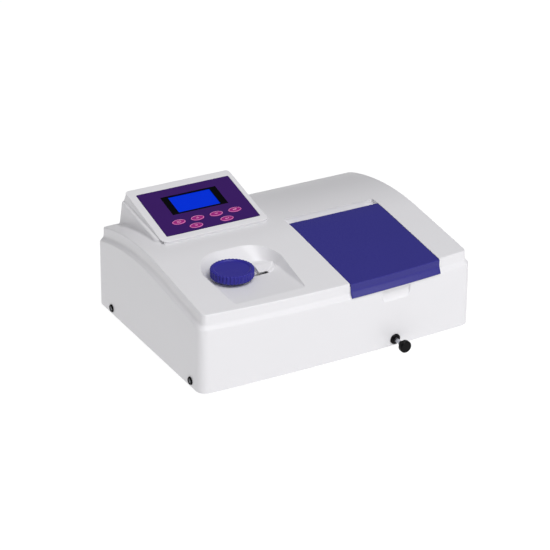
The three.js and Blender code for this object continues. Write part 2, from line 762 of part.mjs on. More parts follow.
// Knob of the pull rod: a thick disc with a collar towards the housing, drawn about Z and laid along -Y.
function pullKnob() {
  const disc = turned(
    [
      [0, 0],
      [PULL_KNOB_RADIUS - 1.2, 0],
      [PULL_KNOB_RADIUS, 1.2],
      [PULL_KNOB_RADIUS, 6.8],
      [PULL_KNOB_RADIUS - 1.2, 8],
      [4.4, 8],
      [4.2, 13.5],
      [0, 13.5],
    ],
    [0, 0],
    32,
  );
  const knob = disc.subtract(bar("z", ROD_RADIUS + GAP, [5.7, 20]));
  const geometry = toGeometry(knob);
  geometry.rotateX(-Math.PI / 2);
  geometry.translate(ROD_X, -FRONT_REACH, ROD_Z);
  return toSolid(geometry);
}
add("pull_knob", "black", pullKnob());

const wallFace = -HALF_DEPTH - FOOT_PLAN.bow - 0.7;
const escutcheon = cut(
  union(
    bar("y", 7.7, [wallFace - 2.6, wallFace - 0.1], [ROD_X, ROD_Z], 32),
    bar("y", 5.5, [wallFace - 1, -153], [ROD_X, ROD_Z]),
  ),
  bar("y", ROD_RADIUS + GAP, [-180, -140], [ROD_X, ROD_Z]),
);
add("rod_escutcheon", "black", escutcheon);

// ---------------------------------------------------------------- wavelength drive

function wavelengthKnob() {
  const fluteDepth = 1.3;
  const perFlute = 4;
  const count = KNOB_FLUTES * perFlute;
  const scallops = Array.from({ length: count }, (_, i) => {
    const radius = KNOB_RADIUS - fluteDepth * (0.5 - 0.5 * Math.cos((2 * Math.PI * i) / perFlute));
    const angle = (2 * Math.PI * i) / count;
    return [KNOB_AT[0] + radius * Math.cos(angle), KNOB_AT[1] + radius * Math.sin(angle)];
  });
  const top = KNOB_Z[1];
  const dishProfile = [[0, top - 1.8], [21, top - 1.5], [24.5, top], [24.5, top + 5], [0, top + 5]];
  const dish = turned(dishProfile, KNOB_AT, 48);
  const socket = bar("z", KNOB_SHAFT_RADIUS + GAP, [KNOB_Z[0] - 1, top - 3], KNOB_AT);
  return cut(prism("z", scallops, KNOB_Z), dish, socket);
}
add("wavelength_knob", "lid", wavelengthKnob());
add("knob_shaft", "steel", bar("z", KNOB_SHAFT_RADIUS, [93, KNOB_Z[1] - 3 - GAP], KNOB_AT));

const shaftBore = bar("z", KNOB_SHAFT_RADIUS + GAP, [80, 140], KNOB_AT);
const bushing = union(
  bar("z", 6, [WELL_FLOOR_Z - WALL - 1.5, WELL_FLOOR_Z + 1], KNOB_AT),
  bar("z", 9, [WELL_FLOOR_Z, WELL_FLOOR_Z + 1.6], KNOB_AT),
);
add("shaft_bushing", "brass", bushing.subtract(shaftBore));
const dial = union(
  bar("z", DIAL_RADIUS, [DIAL_Z, DIAL_Z + 1.5], KNOB_AT, 64),
  bar("z", 8, [DIAL_Z - 6, DIAL_Z], KNOB_AT),
);
add("wavelength_dial", "dial", dial.subtract(shaftBore));

// The cam's edge is traced by the follower, whose arm turns by ARM_RATIO for each unit of the cam's turn.
// At rest the arm is tangent to the circle of CAM_MEAN_RADIUS about the knob's axis.
const camAxis = new THREE.Vector2(...KNOB_AT);
const gratingAxis = new THREE.Vector2(...GRATING_AT);
const axisDistance = camAxis.distanceTo(gratingAxis);
const armLength = Math.sqrt(axisDistance ** 2 - CAM_MEAN_RADIUS ** 2);
const armAngle = camAxis.clone().sub(gratingAxis).angle() - Math.asin(CAM_MEAN_RADIUS / axisDistance);

function followerAt(camTurn) {
  const angle = armAngle + ARM_RATIO * camTurn;
  return gratingAxis.clone().add(new THREE.Vector2(armLength, 0).rotateAround(new THREE.Vector2(), angle));
}

function wavelengthCam() {
  const overrun = THREE.MathUtils.degToRad(14);
  const limit = CAM_HALF_TURN + overrun;
  const steps = 48;
  const edge = Array.from({ length: steps + 1 }, (_, i) => {
    const turn = -limit + (2 * limit * i) / steps;
    const reach = followerAt(turn).sub(camAxis);
    const radius = reach.length() - FOLLOWER_RADIUS - GAP;
    const angle = reach.angle() - turn;
    return [KNOB_AT[0] + radius * Math.cos(angle), KNOB_AT[1] + radius * Math.sin(angle)];
  });
  return prism("z", edge, CAM_Z).subtract(shaftBore);
}
add("wavelength_cam", "aluminium", wavelengthCam());

const lowerBearing = union(bar("z", 6, [91, 96], KNOB_AT), bar("z", 10, [90.3, 92.3], KNOB_AT));
add("lower_bearing", "brass", lowerBearing.subtract(shaftBore));

function gratingArm() {
  const follower = followerAt(0);
  const tip = follower.clone().sub(gratingAxis);
  const direction = tip.clone().normalize();
  const side = new THREE.Vector2(-direction.y, direction.x).multiplyScalar(3.2);
  const corners = [
    gratingAxis.clone().sub(side),
    follower.clone().sub(side),
    follower.clone().add(side),
    gratingAxis.clone().add(side),
  ];
  const beam = prism(
    "z",
    corners.map(({ x, y }) => [x, y]),
    [104, 107],
  );
  return union(
    beam,
    bar("z", 9, [100, 107], GRATING_AT),
    bar("z", FOLLOWER_RADIUS, [CAM_Z[0] + 0.5, 106], [follower.x, follower.y]),
  ).subtract(bar("z", 4 + GAP, [90, 120], GRATING_AT));
}
add("grating_arm", "aluminium", gratingArm());

function armSpring() {
  const turns = 3;
  const steps = 48;
  const points = Array.from({ length: steps + 1 }, (_, i) => {
    const angle = (2 * Math.PI * turns * i) / steps;
    const [x, y] = [GRATING_AT[0] + 7 * Math.cos(angle), GRATING_AT[1] + 7 * Math.sin(angle)];
    return new THREE.Vector3(x, y, 92 + (6 * i) / steps);
  });
  const path = new THREE.CatmullRomCurve3(points);
  const wire = arc([0, 0], [0.6, 0.6], [0, 2 * Math.PI], 6).slice(1);
  const section = new THREE.Shape(wire.map(([x, y]) => new THREE.Vector2(x, y)));
  return toSolid(new THREE.ExtrudeGeometry(section, { steps, extrudePath: path, bevelEnabled: false }));
}
add("arm_spring", "steel", armSpring());

// ---------------------------------------------------------------- optics

const benchZ = [baseTop, 14];
const caseX = [-195, 12];
const caseY = [-112, 42];
const caseZ = [benchZ[1], 88];
const bench = prism(
  "z",
  [[-198, -115], [14, -115], [14, 2], [125, 2], [125, 100], [14, 100], [14, 46], [-198, 46]],
  benchZ,
);
add("optics_bench", "aluminium", bench);

const caseWall = 3;
const monochromatorCase = cut(
  block(caseX, caseY, caseZ),
  block(
    [caseX[0] + caseWall, caseX[1] - caseWall],
    [caseY[0] + caseWall, caseY[1] - caseWall],
    [caseZ[0] + caseWall, 100],
  ),
  bar("x", 6, [5, 20], [BEAM_Y, BEAM_Z]),
  bar("x", 6, [5, 20], [LAMP_Y, BEAM_Z]),
);
add("monochromator_case", "anodised", monochromatorCase);
const cover = cut(
  block([caseX[0] - 1, caseX[1]], [caseY[0] - 1, caseY[1] + 1], [caseZ[1] + GAP, 90.2]),
  bar("z", 5, [80, 100], GRATING_AT),
);
add("monochromator_cover", "anodised", cover);

for (const [name, y] of Object.entries({ entrance_slit: LAMP_Y, exit_slit: BEAM_Y })) {
  const plate = block([caseX[1] + 0.1, caseX[1] + 2], [y - 12, y + 12], [BEAM_Z - 14, BEAM_Z + 14]);
  add(name, "steel", plate.subtract(block([0, 30], [y - 0.6, y + 0.6], [BEAM_Z - 5, BEAM_Z + 5])));
}

// A round mirror in an upright holder, turned about Z to face its target.
function mirror(y, turn) {
  const glass = bar("x", 19, [-3, 3], [0, BEAM_Z], 32);
  const holder = block([-9, -3], [-16, 16], [caseZ[0] + caseWall, 52]);
  const foot = block([-9, 6], [-16, 16], [caseZ[0] + caseWall, 20]);
  const geometry = toGeometry(union(glass, holder, foot));
  geometry.rotateZ(turn);
  geometry.translate(-178, y, 0);
  return toSolid(geometry);
}
add("collimating_mirror", "mirror", mirror(16, -0.17));
add("focusing_mirror", "mirror", mirror(-66, 0.17));

const holder = union(
  block([GRATING_AT[0] - 1, GRATING_AT[0] + 6], [GRATING_AT[1] - 14, GRATING_AT[1] + 14], [24, 58]),
  bar("z", 4, [caseZ[0] + caseWall + 0.3, 107], GRATING_AT),
);
add("grating_holder", "aluminium", holder);
const gratingFace = GRATING_AT[0] - 4 - GAP;
const grating = block([gratingFace - 5, gratingFace], [GRATING_AT[1] - 13, GRATING_AT[1] + 13], [27, 55]);
add("diffraction_grating", "mirror", grating);

const lampHousing = cut(
  block([38, 112], [6, 80], [benchZ[1], 92]),
  block([40, 110], [8, 78], [benchZ[1] + 2, 100]),
  bar("x", 8, [30, 50], [LAMP_Y, BEAM_Z]),
);
add("lamp_housing", "sheet", lampHousing);
const lampX = 75;
add("lamp_socket", "ceramic", block([lampX - 9, lampX + 9], [LAMP_Y - 9, LAMP_Y + 9], [benchZ[1] + 2, 28]));
const bulb = [
  [0, 28],
  [5, 28],
  [5.5, 34],
  [5.5, 44],
  [4.5, 49],
  [1.5, 53],
  [0, 54],
];
const lamp = turned(bulb, [lampX, LAMP_Y], 24);
add("halogen_lamp", "glass", lamp);

const detector = cut(
  block([150, 182], [BEAM_Y - 20, BEAM_Y + 20], [20, 62]),
  block([160, 190], [BEAM_Y - 17, BEAM_Y + 17], [23, 59]),
  bar("x", 5, [140, 170], [BEAM_Y, BEAM_Z]),
).add(block([158, 163], [BEAM_Y - 18, BEAM_Y - 8], [22, 60]));
const detectorStand = block([150, 182], [BEAM_Y - 20, BEAM_Y + 20], [baseTop, 20]);
add("detector_housing", "anodised", detector.add(detectorStand));

// ---------------------------------------------------------------- electronics

const boardZ = [20, 21.6];
const standoffs = [
  [-56, 64],
  [4, 64],
  [-56, 128],
  [4, 128],
].map((at) => bar("z", 3, [baseTop, boardZ[1] - 0.5], at, 12));
const chips = [
  block([-44, -24], [90, 110], [boardZ[0], 25]),
  block([-12, 8], [76, 90], [boardZ[0], 24]),
  bar("z", 7, [boardZ[0], 46], [-4, 118]),
];
add("main_board", "board", union(block([-62, 12], [56, 136.5], boardZ), ...standoffs, ...chips));

const supply = union(block([-190, -74], [60, 128], [baseTop, 46]), block([-170, -120], [72, 116], [40, 68]));
add("power_supply", "sheet", supply);

const rearFace = HALF_DEPTH + 0.1;
const inletBody = cut(
  union(
    block([INLET_X - 24, INLET_X + 24], [rearFace, REAR_REACH], [FITTINGS_Z - 12, FITTINGS_Z + 12]),
    block([INLET_X - 14, INLET_X + 14], [138, rearFace + 1], [FITTINGS_Z - 10, FITTINGS_Z + 10]),
  ),
  block([INLET_X - 12, INLET_X + 12], [146, 170], [FITTINGS_Z - 8, FITTINGS_Z + 8]),
);
const inletPins = [[-7, -2], [0, 2], [7, -2]].map(([x, z]) =>
  block([INLET_X + x - 1, INLET_X + x + 1], [145, 155], [FITTINGS_Z + z - 2.5, FITTINGS_Z + z + 2.5]),
);
add("power_inlet", "black", union(inletBody, ...inletPins));

const switchFrame = cut(
  union(
    block([SWITCH_X - 8.5, SWITCH_X + 8.5], [rearFace, rearFace + 1.6], [FITTINGS_Z - 12, FITTINGS_Z + 12]),
    block([SWITCH_X - 6.5, SWITCH_X + 6.5], [144, rearFace + 1], [FITTINGS_Z - 9.5, FITTINGS_Z + 9.5]),
  ),
  block([SWITCH_X - 5.3, SWITCH_X + 5.3], [150, 170], [FITTINGS_Z - 8, FITTINGS_Z + 8]),
);
add("power_switch_frame", "black", switchFrame);
const rocker = prism(
  "x",
  [
    [156, FITTINGS_Z - 6.8],
    [160.2, FITTINGS_Z - 7.2],
    [160.8, FITTINGS_Z],
    [162.3, FITTINGS_Z + 6.6],
    [156, FITTINGS_Z + 5.8],
    [153, FITTINGS_Z],
  ],
  [SWITCH_X - 5, SWITCH_X + 5],
);
add("power_switch_rocker", "black", rocker);

const portBody = cut(
  union(
    block([PORT_X - 15, PORT_X + 15], [rearFace, rearFace + 1.2], [PORT_Z - 7, PORT_Z + 7]),
    block([PORT_X - 11, PORT_X + 11], [148, rearFace + 0.5], [PORT_Z - 5, PORT_Z + 5]),
  ),
  block([PORT_X - 8.5, PORT_X + 8.5], [154, 170], [PORT_Z - 3.6, PORT_Z + 3.6]),
);
add("data_port", "sheet", portBody);

const fanHalf = FAN_SIZE / 2;
const fanAxis = FAN_AT;
const fanFrame = union(
  cut(
    block([FAN_AT[0] - fanHalf, FAN_AT[0] + fanHalf], FAN_Y, [FAN_AT[1] - fanHalf, FAN_AT[1] + fanHalf]),
    bar("y", 28, [FAN_Y[0] - 5, FAN_Y[1] + 5], fanAxis, 40),
  ),
  bar("y", 12, [FAN_Y[0], FAN_Y[0] + 2.5], fanAxis),
  block([FAN_AT[0] - 29, FAN_AT[0] + 29], [FAN_Y[0], FAN_Y[0] + 2], [FAN_AT[1] - 1.5, FAN_AT[1] + 1.5]),
  block([FAN_AT[0] - 1.5, FAN_AT[0] + 1.5], [FAN_Y[0], FAN_Y[0] + 2], [FAN_AT[1] - 29, FAN_AT[1] + 29]),
);
add("fan_frame", "black", fanFrame);

function fanRotor() {
  const blades = 7;
  const hub = bar("y", 12, [FAN_Y[0] + 3, FAN_Y[1] - 1], fanAxis);
  const blade = toGeometry(block([10, 26.5], [-0.6, 0.6], [-5.5, 5.5]));
  blade.rotateX(0.6);
  blade.translate(0, (FAN_Y[0] + FAN_Y[1]) / 2 + 1, 0);
  const ring = Array.from({ length: blades }, (_, i) => {
    const turnedBlade = blade.clone();
    turnedBlade.rotateY((2 * Math.PI * i) / blades);
    turnedBlade.translate(FAN_AT[0], 0, FAN_AT[1]);
    return toSolid(turnedBlade);
  });
  return union(hub, ...ring);
}
add("fan_rotor", "black", fanRotor());

export default group;
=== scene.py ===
"""Looks of a bench-top visible spectrophotometer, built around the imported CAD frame."""

import json
import math

import bmesh
import bpy
from mathutils import Matrix, Vector
from mathutils.geometry import delaunay_2d_cdt

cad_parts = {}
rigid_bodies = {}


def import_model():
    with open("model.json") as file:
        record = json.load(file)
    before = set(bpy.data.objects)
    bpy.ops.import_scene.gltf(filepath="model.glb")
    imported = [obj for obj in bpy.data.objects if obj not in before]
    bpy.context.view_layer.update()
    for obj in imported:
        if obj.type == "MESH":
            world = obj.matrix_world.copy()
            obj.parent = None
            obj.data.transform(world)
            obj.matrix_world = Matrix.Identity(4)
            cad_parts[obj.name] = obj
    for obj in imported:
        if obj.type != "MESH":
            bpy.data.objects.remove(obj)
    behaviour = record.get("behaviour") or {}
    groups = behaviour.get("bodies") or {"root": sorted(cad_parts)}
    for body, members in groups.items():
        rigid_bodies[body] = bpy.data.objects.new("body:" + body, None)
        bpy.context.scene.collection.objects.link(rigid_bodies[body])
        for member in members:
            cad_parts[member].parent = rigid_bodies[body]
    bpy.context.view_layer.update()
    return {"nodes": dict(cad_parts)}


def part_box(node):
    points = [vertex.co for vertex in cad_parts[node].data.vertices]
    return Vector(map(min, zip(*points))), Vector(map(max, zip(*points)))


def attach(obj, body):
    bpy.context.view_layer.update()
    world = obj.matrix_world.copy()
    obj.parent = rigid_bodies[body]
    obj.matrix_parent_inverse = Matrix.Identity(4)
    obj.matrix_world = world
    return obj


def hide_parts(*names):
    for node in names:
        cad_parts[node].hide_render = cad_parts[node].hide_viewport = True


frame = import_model()

# ------------------------------------------------------------------ frame and dimensions, millimetres

MM = 0.001
housing_low, housing_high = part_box("top_housing")
HALF_WIDTH = housing_high.x / MM
HALF_DEPTH = 160.0
FOOT_PLAN, DECK_PLAN = (4.2, 0.0, 1.0), (9.0, 1.7, 4 / 3)  # bow, lean and the sides' share of an inset
CORNER = 14.0
FLOOR_Z = housing_low.z / MM
SHIFT_Y = housing_high.y / MM - HALF_DEPTH
RAMP = math.tan(math.radians(8.2))
RAMP_Y, RAMP_Z, CROWN = -27.0, 140.0, 410.0
CROWN_Y = RAMP_Y + CROWN * math.sin(math.radians(8.2))
CROWN_Z = RAMP_Z - CROWN * math.cos(math.radians(8.2))
RECESS_X = (11.0, 157.5)
TROUGH_Y = (-3.0, 16.0)
LEDGE_DROP, TROUGH_DROP = 5.0, 13.5
WELL_Z = 121.5
WELL_RISE = 24.0
RIDGE_FRONT_Y, RIDGE_FRONT_Z, RIDGE_SLOPE = 24, 147.6, 0.153
LID_X, LID_THICKNESS = (11.5, 157.0), 3.5
HINGE_Y, HINGE_Z, HINGE_LOOP = 6, 135, 3.5
KNOB_UNDER, KNOB_TOP, KNOB_RADIUS = 126.4, 138.5, 30.0
PANEL_AT = Vector((-162.3, 30.75, 150.95))
PANEL_TILT = math.radians(14.5)
PANEL_W, PANEL_L = 143.5, 98.0
PANEL_X, PANEL_Y = (-1.6, PANEL_W + 1.0), (-0.8, PANEL_L + 0.8)


def deck_z(y):
    if y < RAMP_Y:
        return RAMP_Z + (y - RAMP_Y) * RAMP
    return CROWN_Z + math.sqrt(CROWN**2 - (y - CROWN_Y) ** 2)


def ridge_z(y):
    return RIDGE_FRONT_Z + (y - RIDGE_FRONT_Y) * RIDGE_SLOPE


def spread(start, end, steps):
    return [start + (end - start) * i / steps for i in range(steps + 1)]


def hinge_arc(start, end, steps):
    """Points in (y, z) on the outside of a hinge loop or lug."""
    return [
        (HINGE_Y + HINGE_LOOP * math.cos(a), HINGE_Z + HINGE_LOOP * math.sin(a))
        for a in spread(start, end, steps)
    ]


def mix(a, b, t):
    return tuple(p + (q - p) * t for p, q in zip(a, b))


def smooth(t):
    t = min(max(t, 0.0), 1.0)
    return t * t * (3 - 2 * t)


# ------------------------------------------------------------------ mesh building


class Sheet:
    """Faces in housing millimetres; points in one place become one vertex."""

    def __init__(self):
        self.ids, self.points, self.faces = {}, [], []

    def vertex(self, point):
        key = tuple(round(c, 3) for c in point)
        if key not in self.ids:
            self.ids[key] = len(self.points)
            self.points.append(point)
        return self.ids[key]

    def face(self, points):
        ids = []
        for point in points:
            i = self.vertex(point)
            if i not in ids:
                ids.append(i)
        if len(ids) > 2:
            self.faces.append(ids)

    def strip(self, low, high, closed=True):
        count = len(low)
        for i in range(count if closed else count - 1):
            j = (i + 1) % count
            self.face([low[i], low[j], high[j], high[i]])

    def skin(self, rings, closed=True):
        for low, high in zip(rings, rings[1:]):
            self.strip(low, high, closed)

    def fill(self, outer, holes, height, step):
        """Triangles between an outline and its holes, with height(x, y) for the points inside."""
        loops = [[(p[0], p[1]) for p in loop] for loop in (outer, *holes)]
        known = [p for loop in (outer, *holes) for p in loop]
        flat, edges = [], []
        for loop in loops:
            first = len(flat)
            flat += [Vector(p) for p in loop]
            edges += [(first + i, first + (i + 1) % len(loop)) for i in range(len(loop))]
        segments = [(flat[a], flat[b]) for a, b in edges]

        def inside(x, y):
            hit = False
            for a, b in segments:
                if (a.y > y) != (b.y > y) and x < (b.x - a.x) * (y - a.y) / (b.y - a.y) + a.x:
                    hit = not hit
            return hit

        def margin(point):
            nearest = 1e9
            for a, b in segments:
                along = b - a
                t = min(max((point - a).dot(along) / max(along.length_squared, 1e-9), 0), 1)
                nearest = min(nearest, (point - a - along * t).length)
            return nearest

        xs, ys = [p.x for p in flat], [p.y for p in flat]
        rows = max(2, round((max(ys) - min(ys)) / step[1]))
        columns = max(2, round((max(xs) - min(xs)) / step[0]))
        for y in spread(min(ys), max(ys), rows)[1:-1]:
            for x in spread(min(xs), max(xs), columns)[1:-1]:
                if inside(x, y) and margin(Vector((x, y))) > 0.45 * min(step):
                    flat.append(Vector((x, y)))
        made, _, triangles, source, _, _ = delaunay_2d_cdt(flat, edges, [], 0, 1e-5)
        for triangle in triangles:
            centre = sum((made[i] for i in triangle), Vector((0, 0))) / 3
            if not inside(*centre):
                continue
            corners = []
            for i in triangle:
                first = source[i][0] if source[i] else len(known)
                corners.append(known[first] if first < len(known) else (*made[i], height(*made[i])))
            self.face(corners)

    def move(self, function):
        self.points = [function(p) for p in self.points]
        return self


def outward_2d(loop, i):
    before, after = loop[i - 1], loop[(i + 1) % len(loop)]
    direction = Vector((after[0] - before[0], after[1] - before[1])).normalized()
    return direction.y, -direction.x


def offset_loop(loop, distance):
    """A counter-clockwise loop moved outwards in plan."""
    moved = []
    for i, point in enumerate(loop):
        nx, ny = outward_2d(loop, i)
        moved.append((point[0] + nx * distance, point[1] + ny * distance, *point[2:]))
    return moved


def rounded_loop(x, y, radii, corner_steps=6, edge_steps=6):
    """Counter-clockwise rectangle from its front left corner, with one radius or four in that order."""
    if not isinstance(radii, tuple):
        radii = (radii,) * 4
    corners = [(x[0], y[0], 1, 1), (x[1], y[0], -1, 1), (x[1], y[1], -1, -1), (x[0], y[1], 1, -1)]
    arcs = []
    for k, (cx, cy, sx, sy) in enumerate(corners):
        r = radii[k]
        start = math.pi + k * math.pi / 2
        centre = (cx + sx * r, cy + sy * r)
        arcs.append(
            [
                (centre[0] + r * math.cos(a), centre[1] + r * math.sin(a))
                for a in spread(start, start + math.pi / 2, corner_steps)
            ]
        )
    loop = []
    for k, arc in enumerate(arcs):
        loop += arc
        loop += [mix(arc[-1], arcs[(k + 1) % 4][0], i / edge_steps) for i in range(1, edge_steps)]
    return loop


def rounded_path(points, radii, steps=5):
    """An open path with its inner corners rounded."""
    path = [points[0]]
    for k in range(1, len(points) - 1):
        here = Vector(points[k])
        back, ahead = Vector(points[k - 1]) - here, Vector(points[k + 1]) - here
        radius = radii[k - 1]
        turn = math.pi - back.angle(ahead)
        reach = min(radius * math.tan(turn / 2), 0.49 * back.length, 0.49 * ahead.length)
        start, end = here + back.normalized() * reach, here + ahead.normalized() * reach
        for t in spread(0, 1, steps):
            path.append(tuple(start * (1 - t) ** 2 + here * (2 * t * (1 - t)) + end * t**2))
    path.append(points[-1])
    return path


def revolve(profile, segments=64, wave=None):
    """Rings of a body of revolution about Z; wave(angle, k) changes ring k's radius."""
    rings = []
    for k, (radius, z) in enumerate(profile):
        ring = []
        for i in range(segments):
            angle = 2 * math.pi * i / segments
            r = radius + (wave(angle, k) if wave else 0)
            ring.append((r * math.cos(angle), r * math.sin(angle), z))
        rings.append(ring)
    sheet = Sheet()
    sheet.skin(rings)
    return sheet


def place(origin, axis=(0, 0, 1)):
    """A function that lays local Z along axis at origin."""
    turn = Vector(axis).to_track_quat("Z", "Y").to_matrix().to_4x4()
    matrix = Matrix.Translation(Vector(origin)) @ turn
    return lambda p: tuple(matrix @ Vector(p))


def on_panel(p):
    return tuple(PANEL_AT + Matrix.Rotation(PANEL_TILT, 3, "X") @ Vector(p))


def make(name, sheet, materials, body, replaces=(), sharp=38.0, bevel=None, weighted=True):
    """Turns a sheet into a piece that rides on a CAD body."""
    mesh = bpy.data.meshes.new(name)
    metres = [(x * MM, (y + SHIFT_Y) * MM, z * MM) for x, y, z in sheet.points]
    mesh.from_pydata(metres, [], sheet.faces)
    work = bmesh.new()
    work.from_mesh(mesh)
    bmesh.ops.recalc_face_normals(work, faces=work.faces)
    work.to_mesh(mesh)
    work.free()
    piece = bpy.data.objects.new(name, mesh)
    bpy.context.scene.collection.objects.link(piece)
    materials = materials if isinstance(materials, (list, tuple)) else [materials]
    for material in materials:
        mesh.materials.append(material)
    mesh.shade_smooth()
    if bevel:
        modifier = piece.modifiers.new("Bevel", "BEVEL")
        modifier.width, modifier.segments = bevel * MM, 3
        modifier.limit_method, modifier.angle_limit = "ANGLE", math.radians(35)
        modifier.harden_normals = False
    else:
        mesh.set_sharp_from_angle(angle=math.radians(sharp))
    if weighted:
        modifier = piece.modifiers.new("WeightedNormal", "WEIGHTED_NORMAL")
        modifier.weight, modifier.keep_sharp = 70, True
    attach(piece, body)
    if replaces:
        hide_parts(*replaces)
    return piece


def face_up(piece, up=True):
    """Turns a piece's open surface over if its largest upward part looks down."""
    lift = sum(p.normal.z * p.area for p in piece.data.polygons)
    if (lift > 0) != up:
        piece.data.flip_normals()


# ------------------------------------------------------------------ materials


def srgb(*levels):
    return tuple(((v / 255 + 0.055) / 1.055) ** 2.4 if v > 10 else v / 255 / 12.92 for v in levels) + (1.0,)


def finish(
    name, colour, roughness=0.4, metallic=0.0, vary=0.03, grain=2500.0, bump=0.04, cloud=18.0, **sockets
):
    """A moulded, printed or machined surface: tone clouds, and fine grain in its roughness and relief."""
    material = bpy.data.materials.new(name)
    material.use_nodes = True
    nodes, links = material.node_tree.nodes, material.node_tree.links
    shader = nodes["Principled BSDF"]
    place_node = nodes.new("ShaderNodeTexCoord")
    clouds, fine = nodes.new("ShaderNodeTexNoise"), nodes.new("ShaderNodeTexNoise")
    clouds.inputs["Scale"].default_value = cloud
    clouds.inputs["Detail"].default_value = 3.0
    fine.inputs["Scale"].default_value = grain
    fine.inputs["Detail"].default_value = 2.0
    for node in (clouds, fine):
        links.new(place_node.outputs["Object"], node.inputs["Vector"])
    tone = nodes.new("ShaderNodeMix")
    tone.data_type = "RGBA"
    tone.inputs["A"].default_value = tuple(c * (1 - vary) for c in colour[:3]) + (1.0,)
    tone.inputs["B"].default_value = tuple(min(1.0, c * (1 + vary)) for c in colour[:3]) + (1.0,)
    links.new(clouds.outputs["Fac"], tone.inputs["Factor"])
    links.new(tone.outputs["Result"], shader.inputs["Base Color"])
    rough = nodes.new("ShaderNodeMapRange")
    rough.inputs["From Min"].default_value, rough.inputs["From Max"].default_value = 0.3, 0.7
    rough.inputs["To Min"].default_value = max(0.02, roughness - 0.05)
    rough.inputs["To Max"].default_value = min(1.0, roughness + 0.05)
    links.new(fine.outputs["Fac"], rough.inputs["Value"])
    links.new(rough.outputs["Result"], shader.inputs["Roughness"])
    relief = nodes.new("ShaderNodeBump")
    relief.inputs["Strength"].default_value = bump
    relief.inputs["Distance"].default_value = 0.0004
    links.new(fine.outputs["Fac"], relief.inputs["Height"])
    links.new(relief.outputs["Normal"], shader.inputs["Normal"])
    shader.inputs["Metallic"].default_value = metallic
    for socket, value in sockets.items():
        shader.inputs[socket.replace("_", " ")].default_value = value
    return material


def brushed(name, colour, roughness, stretch, metallic=1.0):
    """Metal with fine drawn or turned lines."""
    material = finish(name, colour, roughness, metallic, vary=0.05, grain=1.0, bump=0.05)
    nodes, links = material.node_tree.nodes, material.node_tree.links
    mapping = nodes.new("ShaderNodeMapping")
    mapping.inputs["Scale"].default_value = stretch
    source = next(n for n in nodes if n.type == "TEX_COORD")
    links.new(source.outputs["Object"], mapping.inputs["Vector"])
    fine = [n for n in nodes if n.type == "TEX_NOISE"][1]
    links.new(mapping.outputs["Vector"], fine.inputs["Vector"])
    return material


white = finish("white_abs", srgb(228, 227, 230), 0.34, vary=0.01, grain=1800, bump=0.02)
blue_lid = finish(
    "blue_lid_abs", srgb(50, 47, 131), 0.3, vary=0.03, grain=1800, bump=0.04, Specular_IOR_Level=0.25
)
blue_knob = finish(
    "blue_knob_abs", srgb(48, 43, 146), 0.34, vary=0.04, grain=2200, bump=0.04, Specular_IOR_Level=0.3
)
purple = finish(
    "purple_membrane", srgb(56, 20, 98), 0.4,
    vary=0.05, grain=3500, bump=0.04, cloud=40, Specular_IOR_Level=0.2,
)
magenta = finish(
    "magenta_key", srgb(156, 34, 124), 0.34,
    vary=0.05, grain=3500, bump=0.03, cloud=120, Specular_IOR_Level=0.25,
)
pink = finish("pink_ring", srgb(236, 150, 205), 0.3, vary=0.03, grain=3500, bump=0.02)
legend = finish("legend_ink", srgb(232, 160, 204), 0.35, vary=0.02, grain=3500, bump=0.02)
black = finish("black_abs", srgb(9, 9, 11), 0.28, vary=0.12, grain=2000, bump=0.05, Specular_IOR_Level=0.1)
black_gloss = finish(
    "display_black", srgb(4, 4, 7), 0.2, vary=0.2, grain=2000, bump=0.0, Specular_IOR_Level=0.06
)
rubber = finish("foot_rubber", srgb(30, 30, 31), 0.8, vary=0.15, grain=1400, bump=0.2)
foam = finish("seal_foam", srgb(34, 34, 36), 0.95, vary=0.25, grain=900, bump=0.6)
liner = finish("well_liner", srgb(24, 24, 26), 0.55, vary=0.15, grain=1500, bump=0.15)
anodised = finish("black_anodised", srgb(34, 34, 37), 0.45, 0.5, vary=0.12, grain=2600, bump=0.08)
steel = brushed("drawn_steel", srgb(196, 198, 204), 0.28, (900.0, 30.0, 900.0))
turned_steel = brushed("turned_steel", srgb(190, 192, 198), 0.3, (60.0, 60.0, 2200.0))
sheet_steel = finish(
    "zinc_sheet", srgb(196, 200, 204), 0.42, 0.85, vary=0.08, grain=700, bump=0.05, cloud=60
)
aluminium = brushed("milled_aluminium", srgb(202, 205, 209), 0.36, (40.0, 1500.0, 1500.0))
brass = brushed("turned_brass", srgb(201, 166, 80), 0.3, (50.0, 50.0, 2400.0))
board = finish("solder_mask", srgb(26, 98, 54), 0.35, vary=0.2, grain=900, bump=0.1, cloud=260)
ceramic = finish("steatite", srgb(232, 226, 212), 0.7, vary=0.04, grain=1600, bump=0.1)
dial_white = finish("dial_white", srgb(240, 240, 236), 0.45, vary=0.02, grain=1500, bump=0.02)
mirror_metal = finish("mirror_coating", srgb(238, 240, 244), 0.06, 1.0, vary=0.01, grain=1200, bump=0.0)
quartz = finish(
    "lamp_quartz",
    srgb(240, 244, 248),
    0.06,
    vary=0.01,
    grain=1200,
    bump=0.0,
    Transmission_Weight=0.92,
    IOR=1.46,
)
screw_core = finish("screw_core", srgb(120, 122, 128), 0.35, 0.9, vary=0.08, grain=1500, bump=0.08)

# ------------------------------------------------------------------ top housing


def front_y(x, inset, plan=DECK_PLAN):
    bow, lean, _ = plan
    return inset - HALF_DEPTH - lean - bow * (1 - (x / (HALF_WIDTH - CORNER)) ** 2)


